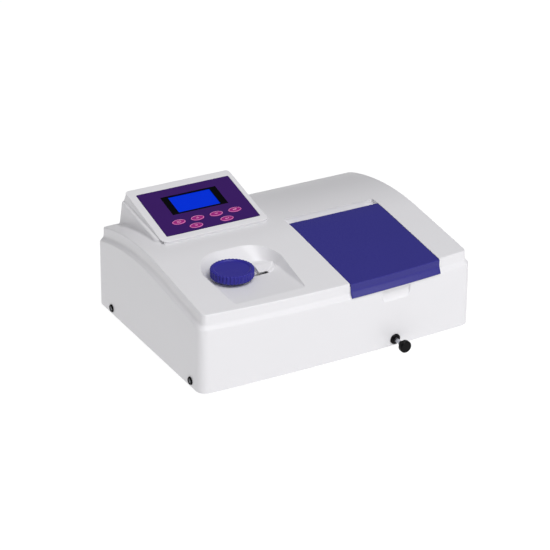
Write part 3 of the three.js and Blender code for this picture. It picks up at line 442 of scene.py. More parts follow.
def outline_point(column, inset, plan=DECK_PLAN):
    kind, a, b = column[:3]
    side_inset = inset * plan[2]
    if kind == "front":
        return a, front_y(a, inset, plan)
    if kind == "side":
        return a * (HALF_WIDTH - side_inset), b
    if kind == "rear":
        return a, HALF_DEPTH - inset
    cx, cy = a * (HALF_WIDTH - CORNER), b * (HALF_DEPTH - CORNER) - (plan[1] if b < 0 else 0)
    angle = column[3]
    return cx + (CORNER - side_inset) * math.cos(angle), cy + (CORNER - inset) * math.sin(angle)


SCOOP = (60.7, 106.6)
VENT_X, VENT_Z = (47.0, 103.0), (35.3, 84.0)
HOLES = [
    (VENT_X, VENT_Z),
    ((-164.3, -135.7), (30.0, 50.0)),
    ((-106.8, -93.2), (30.0, 50.0)),
    ((-71.3, -48.7), (24.7, 35.3)),
]


def housing_columns():
    edge = HALF_WIDTH - CORNER
    side = HALF_DEPTH - CORNER
    xs = set(spread(-edge, RECESS_X[0], 38) + spread(RECESS_X[0], SCOOP[0] - 0.4, 10))
    xs |= set(spread(SCOOP[0] - 0.4, SCOOP[0] + 1.2, 4) + spread(SCOOP[0] + 1.2, SCOOP[0] + 10, 8))
    xs |= set(spread(SCOOP[0] + 10, SCOOP[1] - 10, 6) + spread(SCOOP[1] - 10, SCOOP[1] - 1.2, 8))
    xs |= set(spread(SCOOP[1] - 1.2, SCOOP[1] + 0.4, 4) + spread(SCOOP[1] + 0.4, RECESS_X[1], 10))
    xs |= set(spread(RECESS_X[1], edge, 8))
    columns = []
    for x in sorted(xs):
        in_recess = RECESS_X[0] <= x <= RECESS_X[1]
        entry = ("front", x, 0)
        if x == RECESS_X[0]:
            columns.append((*entry, False))
        columns.append((*entry, in_recess))
        if x == RECESS_X[1]:
            columns.append((*entry, False))
    turns = spread(0, math.pi / 2, 8)[1:-1]
    columns += [("arc", 1, -1, a - math.pi / 2) for a in turns]
    columns += [("side", 1, y) for y in spread(-side, side, 48)]
    columns += [("arc", 1, 1, a) for a in turns]
    rear = set(spread(-edge, edge, 30)) | {x for hole in HOLES for x in hole[0]}
    columns += [("rear", x, 0) for x in sorted(rear, reverse=True)]
    columns += [("arc", -1, 1, a + math.pi / 2) for a in turns]
    columns += [("side", -1, y) for y in spread(side, -side, 48)]
    columns += [("arc", -1, -1, a + math.pi) for a in turns]
    return columns


SHOULDER = rounded_path([(1.2, 22), (1.4, 19.6), (5.4, 14.4), (6.0, 0), (9.6, 0)], [3, 7, 2.0], 7)
LEDGE_INSET = 5.85


def scoop_depth(x, z):
    centre_x, half = sum(SCOOP) / 2, (SCOOP[1] - SCOOP[0]) / 2
    radius, foot = 9.0, 80.0
    dx = max(abs(x - centre_x) - (half - radius), 0)
    dz = max(foot + radius - z, 0)
    edge = radius - math.hypot(dx, dz)
    lift = min(max((z - foot) / 14, 0), 1)
    return 3.4 * (1 - (1 - lift) ** 2) * smooth(edge / 1.6 + 0.2)


def housing_ring(columns, inset, drop=None, z=None, wall=False):
    ring = []
    for column in columns:
        here, fall = inset, drop
        plan = DECK_PLAN if z is None else FOOT_PLAN
        if drop is not None and column[0] == "front" and column[3] and drop < LEDGE_DROP:
            here, fall = LEDGE_INSET, LEDGE_DROP
        if wall:
            foot = outline_point(column, 0)
            rise = (z - FLOOR_Z) / (deck_z(foot[1]) - 22 - FLOOR_Z)
            here, plan = 1.2 * rise, mix(FOOT_PLAN, DECK_PLAN, rise)
        x, y = outline_point(column, here, plan)
        height = z if fall is None else deck_z(y) - fall
        if column[0] == "front" and wall:
            y += scoop_depth(x, height)
        ring.append((x, y, height))
    return ring


def well_loops():
    """Foot and brim of the knob well with matching points, counter-clockwise."""

    def loop(x, y, front, rear_right, rear_left):
        points = []
        for cx, cy, radius, start in (
            (x[0] + front, y[0] + front, front, math.pi),
            (x[1] - front, y[0] + front, front, 1.5 * math.pi),
            (x[1] - rear_right, y[1] - rear_right, rear_right, 0.0),
            (x[0] + rear_left, y[1] - rear_left, rear_left, 0.5 * math.pi),
        ):
            steps = 6 if radius == front else 28
            turn = [
                (cx + radius * math.cos(a), cy + radius * math.sin(a))
                for a in spread(start, start + math.pi / 2, steps)
            ]
            if points:
                points += [mix(points[-1], turn[0], t) for t in spread(0, 1, 12)[1:-1]]
            points += turn
        return points + [mix(points[-1], points[0], t) for t in spread(0, 1, 12)[1:-1]]

    foot = loop((-153.0, -47.5), (-147.0, -45.0), 5.0, 22.0, 36.0)
    brim = loop((-167.0, -31.7), (-148.5, -19.5), 5.0, 55.0, 52.0)
    return foot, brim


def build_housing():
    sheet = Sheet()
    columns = housing_columns()
    rows = [housing_ring(columns, inset, z=z) for inset, z in ((3.0, 22.0), (3.0, 8.6), (2.4, 8.0))]
    rows += [housing_ring(columns, 0.6, z=8.0), housing_ring(columns, 0.0, z=8.6)]
    levels = [16, 24.7, 30, 35.3, 43, 50, 60, 72, 79, 80]
    levels += spread(80.8, 90, 9) + [92, 94, 96]
    rows += [housing_ring(columns, 0, z=z, wall=True) for z in levels]
    rows += [housing_ring(columns, inset, drop=drop) for inset, drop in SHOULDER]
    shell = Sheet()
    shell.skin(rows)
    for ids in shell.faces:
        points = [shell.points[i] for i in ids]
        centre = [sum(p[k] for p in points) / len(points) for k in range(3)]
        in_hole = centre[1] > HALF_DEPTH - 2 and any(
            hx[0] < centre[0] < hx[1] and hz[0] < centre[2] < hz[1] for hx, hz in HOLES
        )
        if not in_hole:
            sheet.face(points)

    # Recess for the lid: ledge, side walls and trough.
    top, ledge = rows[-1], {}
    left, right = RECESS_X
    start_y = front_y(left, SHOULDER[-1][0])
    ys = spread(start_y, TROUGH_Y[0], 34) + spread(TROUGH_Y[0], TROUGH_Y[1], 4)[1:]
    cross = spread(left, right, 24)

    def side_wall(x):
        start = front_y(x, SHOULDER[-1][0])
        here = [start] + ys[1:]
        upper = [(x, y, deck_z(y)) for y in here]
        corner = front_y(x, LEDGE_INSET)
        lower = [(x, y, deck_z(y) - LEDGE_DROP) for y in [corner] + here[1:]]
        sheet.strip(upper, lower, closed=False)
        deep = [p for p in lower if p[1] >= TROUGH_Y[0]]
        bottom = [(x, p[1], deck_z(p[1]) - TROUGH_DROP) for p in deep]
        sheet.strip(deep, bottom, closed=False)
        return upper, [p for p in lower if p[1] <= TROUGH_Y[0]], bottom

    left_top, left_ledge, left_floor = side_wall(left)
    right_top, right_ledge, right_floor = side_wall(right)
    front_wall = [(TROUGH_Y[0], LEDGE_DROP), (TROUGH_Y[0], TROUGH_DROP)]
    back_wall = [(16.0, 0), (15.9, 0.5), (15.6, 2.2), (14.95, 4.6), (13.6, 7.2)]
    back_wall += [(11.6, 9.8), (9.0, 12.0), (7.0, TROUGH_DROP)]
    for wall in (front_wall, back_wall):
        wall_rows = [
            [(x, y, deck_z(TROUGH_Y[1] if y > 0 else y) - drop) for x in cross] for y, drop in wall
        ]
        sheet.skin(wall_rows, closed=False)
    floor_back = [(x, TROUGH_Y[1], deck_z(TROUGH_Y[1]) - TROUGH_DROP) for x in cross]
    floor_front = [(x, TROUGH_Y[0], deck_z(TROUGH_Y[0]) - TROUGH_DROP) for x in cross]
    trough = floor_front + right_floor[1:] + floor_back[::-1][1:] + left_floor[::-1][1:-1]
    sheet.fill(trough, [], lambda x, y: deck_z(y) - TROUGH_DROP, (10, 5))

    front_ledge = [p for p, c in zip(top, columns) if c[0] == "front" and c[3]]
    back_ledge = [(x, TROUGH_Y[0], deck_z(TROUGH_Y[0]) - LEDGE_DROP) for x in cross]
    ledge = front_ledge + right_ledge[1:] + back_ledge[::-1][1:] + left_ledge[::-1][1:-1]
    hatch = [(*p, deck_z(p[1]) - LEDGE_DROP) for p in rounded_loop((22, 146), (-146, -10), 4, 4, 14)]
    sheet.fill(ledge, [hatch], lambda x, y: deck_z(y) - LEDGE_DROP, (9, 6))
    under = [(x, y, z - 2.9) for x, y, z in hatch]
    sheet.strip(hatch, under)
    sheet.strip(under, offset_loop(under, 8))

    # Knob well.
    foot, brim = well_loops()
    rim = []
    for f, b in zip(foot, brim):
        t = 0.3
        for _ in range(20):
            t = (deck_z(f[1] + (b[1] - f[1]) * t) - WELL_Z) / WELL_RISE
        rim.append((*mix(f, b, t), WELL_Z + WELL_RISE * t))
    heights = [p[2] - WELL_Z for p in rim]
    lips, feet = [[] for _ in range(5)], [[] for _ in range(4)]
    for i, (f, r) in enumerate(zip(foot, rim)):
        nx, ny = outward_2d(rim, i)
        reach = min(0.8, 0.45 * heights[i])
        out = (r[0] + nx * reach, r[1] + ny * reach)
        start = Vector((*out, deck_z(out[1])))
        middle, base = Vector(r), Vector((*f, WELL_Z))
        end = middle + (base - middle).normalized() * reach
        for k, t in enumerate(spread(0, 1, 4)):
            lips[k].append(tuple(start * (1 - t) ** 2 + middle * (2 * t * (1 - t)) + end * t**2))
        small = min(2.0, 0.45 * heights[i])
        fx, fy = outward_2d(foot, i)
        rise = base + (middle - base).normalized() * small
        inner = Vector((f[0] - fx * small, f[1] - fy * small, WELL_Z))
        for k, t in enumerate(spread(0, 1, 3)):
            feet[k].append(tuple(rise * (1 - t) ** 2 + base * (2 * t * (1 - t)) + inner * t**2))
    sheet.skin(lips + feet)
    slot = [(*p, WELL_Z) for p in rounded_loop((-93.0, -67.6), (-84.2, -76.5), 1.0, 3, 4)]
    sheet.fill(feet[-1], [slot], lambda x, y: WELL_Z, (7, 7))
    sheet.strip(slot, [(x, y, WELL_Z - 3) for x, y, z in slot])

    # Deck, round the well and the recess.
    outer = []
    for point, column in zip(top, columns):
        is_front = column[0] == "front"
        if is_front and column[3]:
            continue
        outer.append(point)
        if is_front and column[1] == left:
            outer += left_top[1:]
            outer += [(x, TROUGH_Y[1], deck_z(TROUGH_Y[1])) for x in cross[1:-1]]
            outer += right_top[::-1][:-1]
    sheet.fill(outer, [lips[0]], lambda x, y: deck_z(y), (9, 6))
    return sheet


housing = make(
    "top_housing_shell", build_housing(), white, "instrument", ["top_housing"]
)
face_up(housing)


# Hood over the readout slot: a low bump whose ramp ends in a lip, cut short round the knob.
def build_hood():
    base = WELL_Z - 0.7

    def crest(x, y):
        ramp = 125.2 + (y + 82.5) * 0.344 - base
        outside = -0.73 * (x + 63.6) + 0.683 * (y + 83.5) + 0.4
        steep = 0.85 + 2.15 * (y + 83.5) / 13
        side = steep * (outside + math.sqrt(outside**2 + 1.0)) / 2
        blend = max(1.6 - abs(ramp - side), 0)
        return base + min(ramp, side) - blend**2 / 6.4

    rings = []
    for x in [-83.0, -82.0, -79.0, -76.0, -74.0] + spread(-72.6, -50.0, 40):
        close = smooth((x + 69.8) / 2.2)
        under = 124.0 + (base - 124.0) * close
        ring = [(-69.2, base), (-69.2, crest(x, -69.2) - 0.5)]
        ring += [(y, crest(x, y)) for y in spread(-69.6, -81.9, 14)]
        top = crest(x, -82.2)
        ring += [(-82.45, top - 0.12), (-82.7, top - 0.4), (-82.75, mix((top,), (under,), 0.55)[0])]
        ring += [(-82.6, max(under, base)), (-79.5, under), (-76.4, under), (-76.0, base)]
        here = []
        for y, z in ring:
            shift = math.sqrt(38.0**2 - (y + 77.5) ** 2) - 37.5 if x == -83.0 else 0
            here.append((x + shift, y, z))
        rings.append(here)
    sheet = Sheet()
    sheet.skin(rings)
    sheet.face(rings[0])
    sheet.face(rings[-1])
    return sheet


make("scale_hood", build_hood(), white, "instrument", sharp=50)


# Vent grille in the back wall, and the hinge lugs.
def build_grille():
    sheet = Sheet()
    centre, pitch = 60.0, 7.0
    top = VENT_Z[1]
    bars = [VENT_Z[0]] + [centre + (i - 3) * pitch + s for i in range(7) for s in (-1.8, 1.8)] + [top]
    for low, high in zip(bars[::2], bars[1::2]):
        def wall_y(z):
            return HALF_DEPTH - 1.2 * (z - FLOOR_Z) / (deck_z(HALF_DEPTH) - 22 - FLOOR_Z)

        outside = [(wall_y(low), low), (wall_y(high), high)]
        ring = [(wall_y(low) - 2.6, low), *outside, (wall_y(high) - 2.6, high)]
        ends = [[(x, y, z) for y, z in ring] for x in VENT_X]
        sheet.strip(*ends)
        sheet.face(ends[0])
        sheet.face(ends[1])
    return sheet


make("vent_grille", build_grille(), white, "instrument")


def build_lugs():
    sheet = Sheet()
    for x0, x1 in ((16.0, 24.0), (144.5, 152.5)):
        arc = hinge_arc(0, math.pi, 12)
        profile = [*arc, (2.5, 129.0), (9.5, 129.0)]
        ends = [[(x, y, z) for y, z in profile] for x in (x0, x1)]
        sheet.strip(*ends)
        sheet.face(ends[0])
        sheet.face(ends[1])
    return sheet


make("hinge_lugs", build_lugs(), white, "instrument", bevel=0.4)

# ------------------------------------------------------------------ sample lid


def lid_section(x):
    """Outline of the lid across X, in (y, z): its fold and lip follow the bowed front."""
    fold = front_y(x, 5.8)
    crease = deck_z(fold)
    top = [(y, deck_z(y)) for y in spread(0.4, fold + 5, 34)]
    outside = rounded_path(
        [
            (fold + 5, deck_z(fold + 5)),
            (fold - 1.9, crease - 0.3),
            (fold - 1.7, crease - 10.5),
            (fold - 5.8, crease - 18.9),
        ],
        [1.3, 12],
        7,
    )
    tip = [(fold - 5.85, crease - 19.3), (fold - 5.7, crease - 19.8), (fold - 5.2, crease - 20.0)]
    inside = rounded_path(
        [
            (fold - 4.6, crease - 19.8),
            (fold - 0.9, crease - 13),
            (fold - 0.5, crease - 4.5),
            (fold + 5, deck_z(fold + 5) - LID_THICKNESS),
        ],
        [8, 2],
        6,
    )
    bottom = [(y, deck_z(y) - LID_THICKNESS) for y in spread(-150.0, 0.6, 24)]
    back = [(1.0, deck_z(1.0) - 3.1), (1.0, deck_z(1.0) - 0.5)]
    return [*top, *outside[1:], *tip, *inside, *bottom, *back]


def build_lid():
    x0, x1 = LID_X
    stations = [(x0, 0.55), (x0 + 0.12, 0.25), (x0 + 0.5, 0)] + [(x, 0) for x in spread(x0 + 4, x1 - 4, 20)]
    stations += [(x1 - 0.5, 0), (x1 - 0.12, 0.25), (x1, 0.55)]
    loops = []
    for x, shrink in stations:
        section = lid_section(x)
        ring = []
        for i, (y, z) in enumerate(section):
            before, after = section[i - 1], section[(i + 1) % len(section)]
            along = Vector((after[0] - before[0], after[1] - before[1])).normalized()
            ring.append((x, y - along.y * shrink, z + along.x * shrink))
        loops.append(ring)
    sheet = Sheet()
    sheet.skin(loops)
    sheet.face(loops[0])
    sheet.face(loops[-1])
    return sheet


lid = make("sample_lid_shell", build_lid(), blue_lid, "lid", ["sample_lid"], sharp=45)


def build_loops():
    sheet = Sheet()
    for x0, x1 in ((25.2, 34.8), (133.7, 143.3)):
        outer = hinge_arc(-math.pi * 0.75, math.pi / 2, 16)
        profile = [*outer, (0.9, 139.6), (-2.0, 139.4), (-2.0, 137.2)]
        ends = [[(x, y, z) for y, z in profile] for x in (x0, x1)]
        sheet.strip(*ends)
        sheet.face(ends[0])
        sheet.face(ends[1])
    return sheet


make("lid_hinge_loops", build_loops(), blue_lid, "lid", bevel=0.4)

# ------------------------------------------------------------------ wavelength knob

FLUTES = 36


def build_knob():
    profile = rounded_path(
        [
            (0.01, KNOB_UNDER),
            (28.6, KNOB_UNDER),
            (KNOB_RADIUS, 127.8),
            (KNOB_RADIUS, KNOB_TOP),
            (25.4, KNOB_TOP),
            (23.4, 136.9),
            (0.01, 136.5),
        ],
        [0.8, 0.8, 1.5, 0.8, 1.6],
        5,
    )
    # Extra rings keep the flat top and bottom even.
    under, dish = [(12.0, KNOB_UNDER), (24.0, KNOB_UNDER)], [(18.0, 136.8), (9.0, 136.6)]
    profile = [profile[0], *under, *profile[1:-1], *dish, profile[-1]]

    def wave(angle, k):
        radius, z = profile[k]
        hold = smooth((radius - 26.6) / 2.6)
        groove = (0.5 - 0.5 * math.cos(FLUTES * angle)) ** 1.4
        return -1.35 * groove * hold

    return revolve(profile, FLUTES * 10, wave)


knob_at = (-120.5, -77.5, 0)
knob = build_knob().move(place(knob_at))
make("wavelength_knob_cap", knob, blue_knob, "wavelength_drive", ["wavelength_knob"], sharp=50)

# ------------------------------------------------------------------ console


def build_console_body():
    base = rounded_loop((-181.0, -5.0), (25.0, 150.5), (16, 9, 5, 5), 8, 12)
    crest = rounded_loop((-180.0, -6.0), (25.4, 141.5), (16, 9, 5, 5), 8, 12)
    rings = [[] for _ in range(13)]
    for i, (b, c) in enumerate(zip(base, crest)):
        low = Vector((*b, deck_z(b[1]) + 0.1))
        peak = Vector((*c, ridge_z(c[1])))
        nx, ny = outward_2d([(*p,) for p in crest], i)
        height = (peak - low).length
        reach = min(2.8, 0.6 * height)
        inner = Vector((c[0] - nx * reach, c[1] - ny * reach, 0))
        inner.z = ridge_z(inner.y)
        under = peak + (low - peak).normalized() * reach
        # A hollow fillet runs the wall into the deck.
        fillet = min(3.2, 0.3 * height)
        toe = Vector((b[0] + nx * fillet, b[1] + ny * fillet, 0))
        toe.z = deck_z(toe.y) + 0.02
        knee = low + (peak - low).normalized() * fillet
        for k, t in enumerate(spread(0, 1, 4)):
            rings[k].append(tuple(toe * (1 - t) ** 2 + low * (2 * t * (1 - t)) + knee * t**2))
        rings[5].append(tuple(knee.lerp(under, 0.5)))
        for k, t in enumerate(spread(0, 1, 6)):
            rings[6 + k].append(tuple(under * (1 - t) ** 2 + peak * (2 * t * (1 - t)) + inner * t**2))
    sheet = Sheet()
    sheet.skin(rings)
    sheet.fill(rings[-1], [], lambda x, y: ridge_z(y), (14, 10))
    return sheet


console = make(
    "console_wedge", build_console_body(), white, "instrument", ["console_body"], sharp=60
)
face_up(console)


def ridge_on_panel(y_local):
    """Height of the ridge plane in the panel's frame, at a distance up the slope."""
    slope = math.atan(RIDGE_SLOPE) - PANEL_TILT
    start = (ridge_z(PANEL_AT.y) - PANEL_AT.z) * math.cos(PANEL_TILT)
    return start + y_local * math.tan(slope)


def skirt_depth(y_local):
    """Depth of the bezel's skirt: to the ridge, and in front of the wedge down to the deck."""
    to_ridge = 0.25 - ridge_on_panel(y_local)
    to_deck = to_ridge
    for _ in range(8):
        at = on_panel((0, y_local, -to_deck))
        to_deck += (at[2] - deck_z(at[1]) - 0.2) / math.cos(PANEL_TILT)
    front = PANEL_AT.y + y_local * math.cos(PANEL_TILT) + to_deck * math.sin(PANEL_TILT)
    return to_ridge + (to_deck - to_ridge) * smooth((24.5 - front) / 2.0)


def build_bezel():
    x, y = (-13.0, PANEL_W + 8.4), (-11.3, PANEL_L + 14.2)
    radii = (10, 7, 6, 6)
    outer = rounded_loop(x, y, radii, 8, 10)
    inner = rounded_loop(PANEL_X, PANEL_Y, 1.6, 8, 10)
    depth = [skirt_depth(p[1]) for p in outer]
    rings = [[] for _ in range(8)]
    for i, p in enumerate(outer):
        nx, ny = outward_2d(outer, i)
        d = max(depth[i], 0.9)
        r = min(1.3, 0.7 * d)
        flare = 0.12 * max(d - 2, 0)
        foot = Vector((p[0] + nx * flare, p[1] + ny * flare, -d))
        drop = -min(d * 0.6, r + 2.5)
        waist = Vector((p[0] - nx * 0.35 * min(d / 6, 1), p[1] - ny * 0.35 * min(d / 6, 1), drop))
        edge = Vector((p[0], p[1], 0))
        start = Vector((p[0], p[1], -r))
        end = Vector((p[0] - nx * r, p[1] - ny * r, 0))
        rings[0].append(tuple(foot))
        rings[1].append(tuple(waist))
        for k, t in enumerate(spread(0, 1, 5)):
            rings[2 + k].append(tuple(start * (1 - t) ** 2 + edge * (2 * t * (1 - t)) + end * t**2))
    lip = [(*p, 0.0) for p in offset_loop(inner, 0.6)]
    fall = [(*p, -0.25) for p in offset_loop(inner, 0.12)]
    step = [(*p, -1.2) for p in inner]
    inside = [(*p, -1.2) for p in rounded_loop((2.8, PANEL_W - 2.8), (2.8, PANEL_L - 2.8), 1.0, 8, 10)]
    sheet = Sheet()
    sheet.skin([*rings[:7], lip, fall, step, inside])
    return sheet.move(on_panel)


bezel = make(
    "console_bezel_frame", build_bezel(), white, "instrument", ["console_bezel"], sharp=50
)
face_up(bezel)

KEYS = {
    "key_mode": (28.8, 23.6),
    "key_up": (57.8, 23.6),
    "key_down": (87.2, 23.6),
    "key_print": (116.5, 23.6),
    "key_escape": (48.7, 8.9),
    "key_enter": (96.5, 8.9),
}
KEY_HALF = (10.25, 5.3)
DISPLAY = ((28.5, 115.0), (40.7, 82.2))
VIEW = ((39.0, 104.5), (43.6, 79.6))


def oval(centre, grow, z, steps=48):
    points = []
    for i in range(steps):
        a = 2 * math.pi * i / steps
        x = centre[0] + (KEY_HALF[0] + grow) * math.cos(a)
        points.append((x, centre[1] + (KEY_HALF[1] + grow) * math.sin(a), z))
    return points


def build_membrane():
    sheet = Sheet()
    edges = [(a + 0.3, b - 0.3) for a, b in (PANEL_X, PANEL_Y)]
    outline = [(*p, -0.2) for p in rounded_loop(*edges, 1.2, 4, 12)]
    window = [(*p, -0.2) for p in rounded_loop(*[(a - 0.25, b + 0.25) for a, b in DISPLAY], 0.6, 3, 8)]
    holes = [oval(at, 0.25, -0.2) for at in KEYS.values()]
    sheet.fill(outline, [window, *holes], lambda x, y: -0.2, (8, 8))
    sheet.strip(outline, [(x, y, -1.0) for x, y, z in outline])
    for hole in (window, *holes):
        sheet.strip(hole, [(x, y, -1.0) for x, y, z in hole])
    return sheet.move(on_panel)


membrane = make(
    "membrane_sheet", build_membrane(), purple, "instrument", ["membrane_panel"]
)
face_up(membrane)


def build_key(at):
    sheet = Sheet()
    rings = [oval(at, 0, -1.2), oval(at, 0, -0.05), oval(at, -0.25, 0.12), oval(at, -0.5, 0.16)]
    crown = [oval(at, -1.25, 0.2), oval(at, -1.5, 0.24), oval(at, -3.2, 0.34), oval(at, -4.6, 0.38)]
    sheet.skin(rings)
    body_faces = len(sheet.faces)
    sheet.strip(rings[-1], crown[0])
    ring_faces = len(sheet.faces)
    sheet.skin(crown)
    sheet.face(crown[-1])
    kinds = [0] * body_faces + [1] * (ring_faces - body_faces) + [0] * (len(sheet.faces) - ring_faces)
    sheet.face(rings[0])
    kinds.append(0)
    return sheet, kinds


# Plain symbols on the keys: strokes as (x, y) paths in millimetres from the key's centre.
SYMBOLS = {
    "key_mode": [[(-2.6, -1.4), (-2.6, 1.4), (2.6, 1.4), (2.6, -1.4), (-2.6, -1.4)], [(0, -1.4), (0, 1.4)]],
    "key_up": [[(-2.0, -0.9), (0, 1.3), (2.0, -0.9), (-2.0, -0.9)]],
    "key_down": [[(-2.0, 0.9), (0, -1.3), (2.0, 0.9), (-2.0, 0.9)]],
    "key_print": [[(-2.8, 1.0), (2.8, 1.0)], [(-2.8, 0), (2.8, 0)], [(-2.8, -1.0), (1.0, -1.0)]],
    "key_escape": [[(-1.7, -1.3), (1.7, 1.3)], [(-1.7, 1.3), (1.7, -1.3)]],
    "key_enter": [[(2.8, 1.5), (2.8, -0.5), (-2.6, -0.5)], [(-1.2, 0.7), (-2.6, -0.5), (-1.2, -1.7)]],
}


def build_symbol(name, at):
    sheet = Sheet()
    half = 0.3
    for path in SYMBOLS[name]:
        for a, b in zip(path, path[1:]):
            along = Vector((b[0] - a[0], b[1] - a[1])).normalized()
            side = Vector((-along.y, along.x)) * half
            ends = (Vector(a) - along * half * 0.9, Vector(b) + along * half * 0.9)
            corners = [ends[0] - side, ends[1] - side, ends[1] + side, ends[0] + side]
            low, high = [[(at[0] + c.x, at[1] + c.y, z) for c in corners] for z in (0.1, 0.46)]
            sheet.strip(low, high)
            sheet.face(low)
            sheet.face(high)
    return sheet.move(on_panel)


for key, centre in KEYS.items():
    cap, kinds = build_key(centre)
    body = key.split("_")[1] + "_key"
    piece = make(key + "_cap", cap.move(on_panel), [magenta, pink], body, [key])
    for polygon, kind in zip(piece.data.polygons, kinds):
        polygon.material_index = kind
    make(key + "_symbol", build_symbol(key, centre), legend, body, weighted=False)


def build_display_frame():
    sheet = Sheet()
    outer = rounded_loop(*DISPLAY, 0.5, 3, 6)
    inner = rounded_loop(*VIEW, 0.3, 3, 6)
    levels = [(outer, -1.0), (outer, -0.25), (offset_loop(outer, -0.15), -0.12)]
    levels += [(offset_loop(inner, 0.15), -0.12), (inner, -0.3), (inner, -1.2)]
    sheet.skin([[(*p, z) for p in loop] for loop, z in levels])
    return sheet.move(on_panel)


display_ring = make(
    "display_surround", build_display_frame(), black_gloss, "instrument", ["display_frame"]
)
face_up(display_ring)


def display_glow():
    """Backlit liquid crystal: a fine dot grid over blue."""
    material = finish(
        "display_blue", srgb(0, 18, 90), 0.2, vary=0.1, grain=1500, bump=0.0, Specular_IOR_Level=0.06
    )
    nodes, links = material.node_tree.nodes, material.node_tree.links
    shader = nodes["Principled BSDF"]
    source = next(n for n in nodes if n.type == "TEX_COORD")
    dots = nodes.new("ShaderNodeTexChecker")
    dots.inputs["Scale"].default_value = 1500.0
    dots.inputs["Color1"].default_value = srgb(0, 38, 196)
    dots.inputs["Color2"].default_value = srgb(0, 46, 206)
    links.new(source.outputs["Object"], dots.inputs["Vector"])
    links.new(dots.outputs["Color"], shader.inputs["Emission Color"])
    shader.inputs["Emission Strength"].default_value = 0.96
    return material


def build_display():
    sheet = Sheet()
    (x0, x1), (y0, y1) = VIEW
    loop = rounded_loop((x0 - 0.1, x1 + 0.1), (y0 - 0.1, y1 + 0.1), 0.3, 3, 6)
    rear = rounded_loop((x0 - 4, x1 + 4), (y0 - 3, y1 + 3), 1.0, 3, 6)
    low = [[(*p, z) for p in rear] for z in (-9.0, -1.6)]
    face = [(*p, -1.35) for p in loop]
    sheet.skin([*low, face])
    sheet.fill(face, [], lambda x, y: -1.35, (12, 12))
    sheet.face(low[0])
    return sheet.move(on_panel)


make("display_cell", build_display(), display_glow(), "instrument", ["display_module"])

# ------------------------------------------------------------------ round fittings

ROD_X, ROD_Z = 85.8, 18.0
pull_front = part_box("pull_knob")[0].y / MM - SHIFT_Y
face_front = front_y(ROD_X, 0.0, mix(FOOT_PLAN, DECK_PLAN, 0.12))

pull_profile = rounded_path(
    [(0.01, 0), (7.4, 0), (8.75, 1.2), (8.75, 6.4), (7.2, 8.0)]
    + [(4.4, 8.2), (3.9, 9.4), (4.3, 10.4), (4.3, 13.5), (3.1, 13.5)],
    [1, 1.2, 1.6, 1, 1, 1, 1, 0.6],
    4,
)
pull = revolve(pull_profile, 72).move(place((ROD_X, pull_front, ROD_Z), (0, 1, 0)))
make("pull_knob_turned", pull, black, "carrier", ["pull_knob"], sharp=50)

rod = revolve(
    rounded_path([(0.01, 0), (3.0, 0), (3.0, 96.5), (2.4, 98), (0.01, 98)], [0.4, 0.4, 0.3], 3), 48
).move(place((ROD_X, pull_front + 6, ROD_Z), (0, 1, 0)))
make("pull_rod_bar", rod, steel, "carrier", ["pull_rod"], sharp=50)

collar_profile = rounded_path(
    [(3.3, 14.0), (3.3, 0), (4.2, 0), (6.6, 0.6), (7.7, 1.8), (7.7, 3.0), (5.5, 3.0), (5.5, 13.6)],
    [0.4, 0.4, 1.2, 0.8, 0.3, 0.2],
    4,
)
collar = revolve(collar_profile, 72).move(place((ROD_X, face_front - 2.9, ROD_Z), (0, 1, 0)))
make("rod_escutcheon_ring", collar, black, "instrument", ["rod_escutcheon"], sharp=50)

for node in ("front_left", "front_right", "rear_left", "rear_right"):
    low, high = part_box("side_screw_" + node)
    side = -1 if "left" in node else 1
    y, z = (low.y + high.y) / 2 / MM - SHIFT_Y, (low.z + high.z) / 2 / MM
    outward = place((side * (HALF_WIDTH + 0.1), y, z), (side, 0, 0))
    cup = [(5.9, 0), (5.9, 0.5), (5.0, 2.0), (3.6, 2.0), (3.0, 0.9), (3.0, 0)]
    washer = revolve(rounded_path(cup, [0.3, 0.8, 0.6, 0.4], 4), 56).move(outward)
    make("screw_washer_" + node, washer, black, "instrument", ["side_screw_" + node])
    head = Sheet()
    profile = rounded_path([(2.95, -3.0), (2.95, 1.0), (1.9, 1.75), (1.2, 1.9)], [0.5, 1.0], 4)
    rings = revolve(profile, 40)
    head.faces, head.points = rings.faces, rings.points
    arm, reach = 0.42, 1.15
    cross = [(reach, -arm), (reach, arm), (arm, arm), (arm, reach), (-arm, reach), (-arm, arm)]
    cross += [(-reach, arm), (-reach, -arm), (-arm, -arm), (-arm, -reach), (arm, -reach), (arm, -arm)]
    turns = [2 * math.pi * i / 40 for i in range(40)]
    rim = [(1.2 * math.cos(turn), 1.2 * math.sin(turn), 1.9) for turn in turns]
    slot_loop = [(u, v, 1.9) for u, v in cross]
    head.ids = {tuple(round(c, 3) for c in p): i for i, p in enumerate(head.points)}
    head.fill(rim, [slot_loop], lambda x, y: 1.9, (1, 1))
    head.strip(slot_loop, [(u, v, 0.7) for u, v in cross])
    head.face([(u, v, 0.7) for u, v in cross])
    make("screw_head_" + node, head.move(outward), screw_core, "instrument")

for node in ("front_left", "front_right", "rear_left", "rear_right"):
    low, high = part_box("foot_" + node)
    at = ((low.x + high.x) / 2 / MM, (low.y + high.y) / 2 / MM - SHIFT_Y, 0)
    section = [(0.01, 1.0), (5.5, 1.0), (6.0, 0), (9.2, 0), (10.6, 1.6), (11.5, 8.0), (0.01, 8.0)]
    profile = rounded_path(section, [0.6, 0.4, 1.2, 2, 0.5], 4)
    foot = revolve(profile, 56).move(place(at))
    make("rubber_foot_" + node, foot, rubber, "instrument", ["foot_" + node], sharp=50)

# ------------------------------------------------------------------ finishes of the carried-over CAD nodes

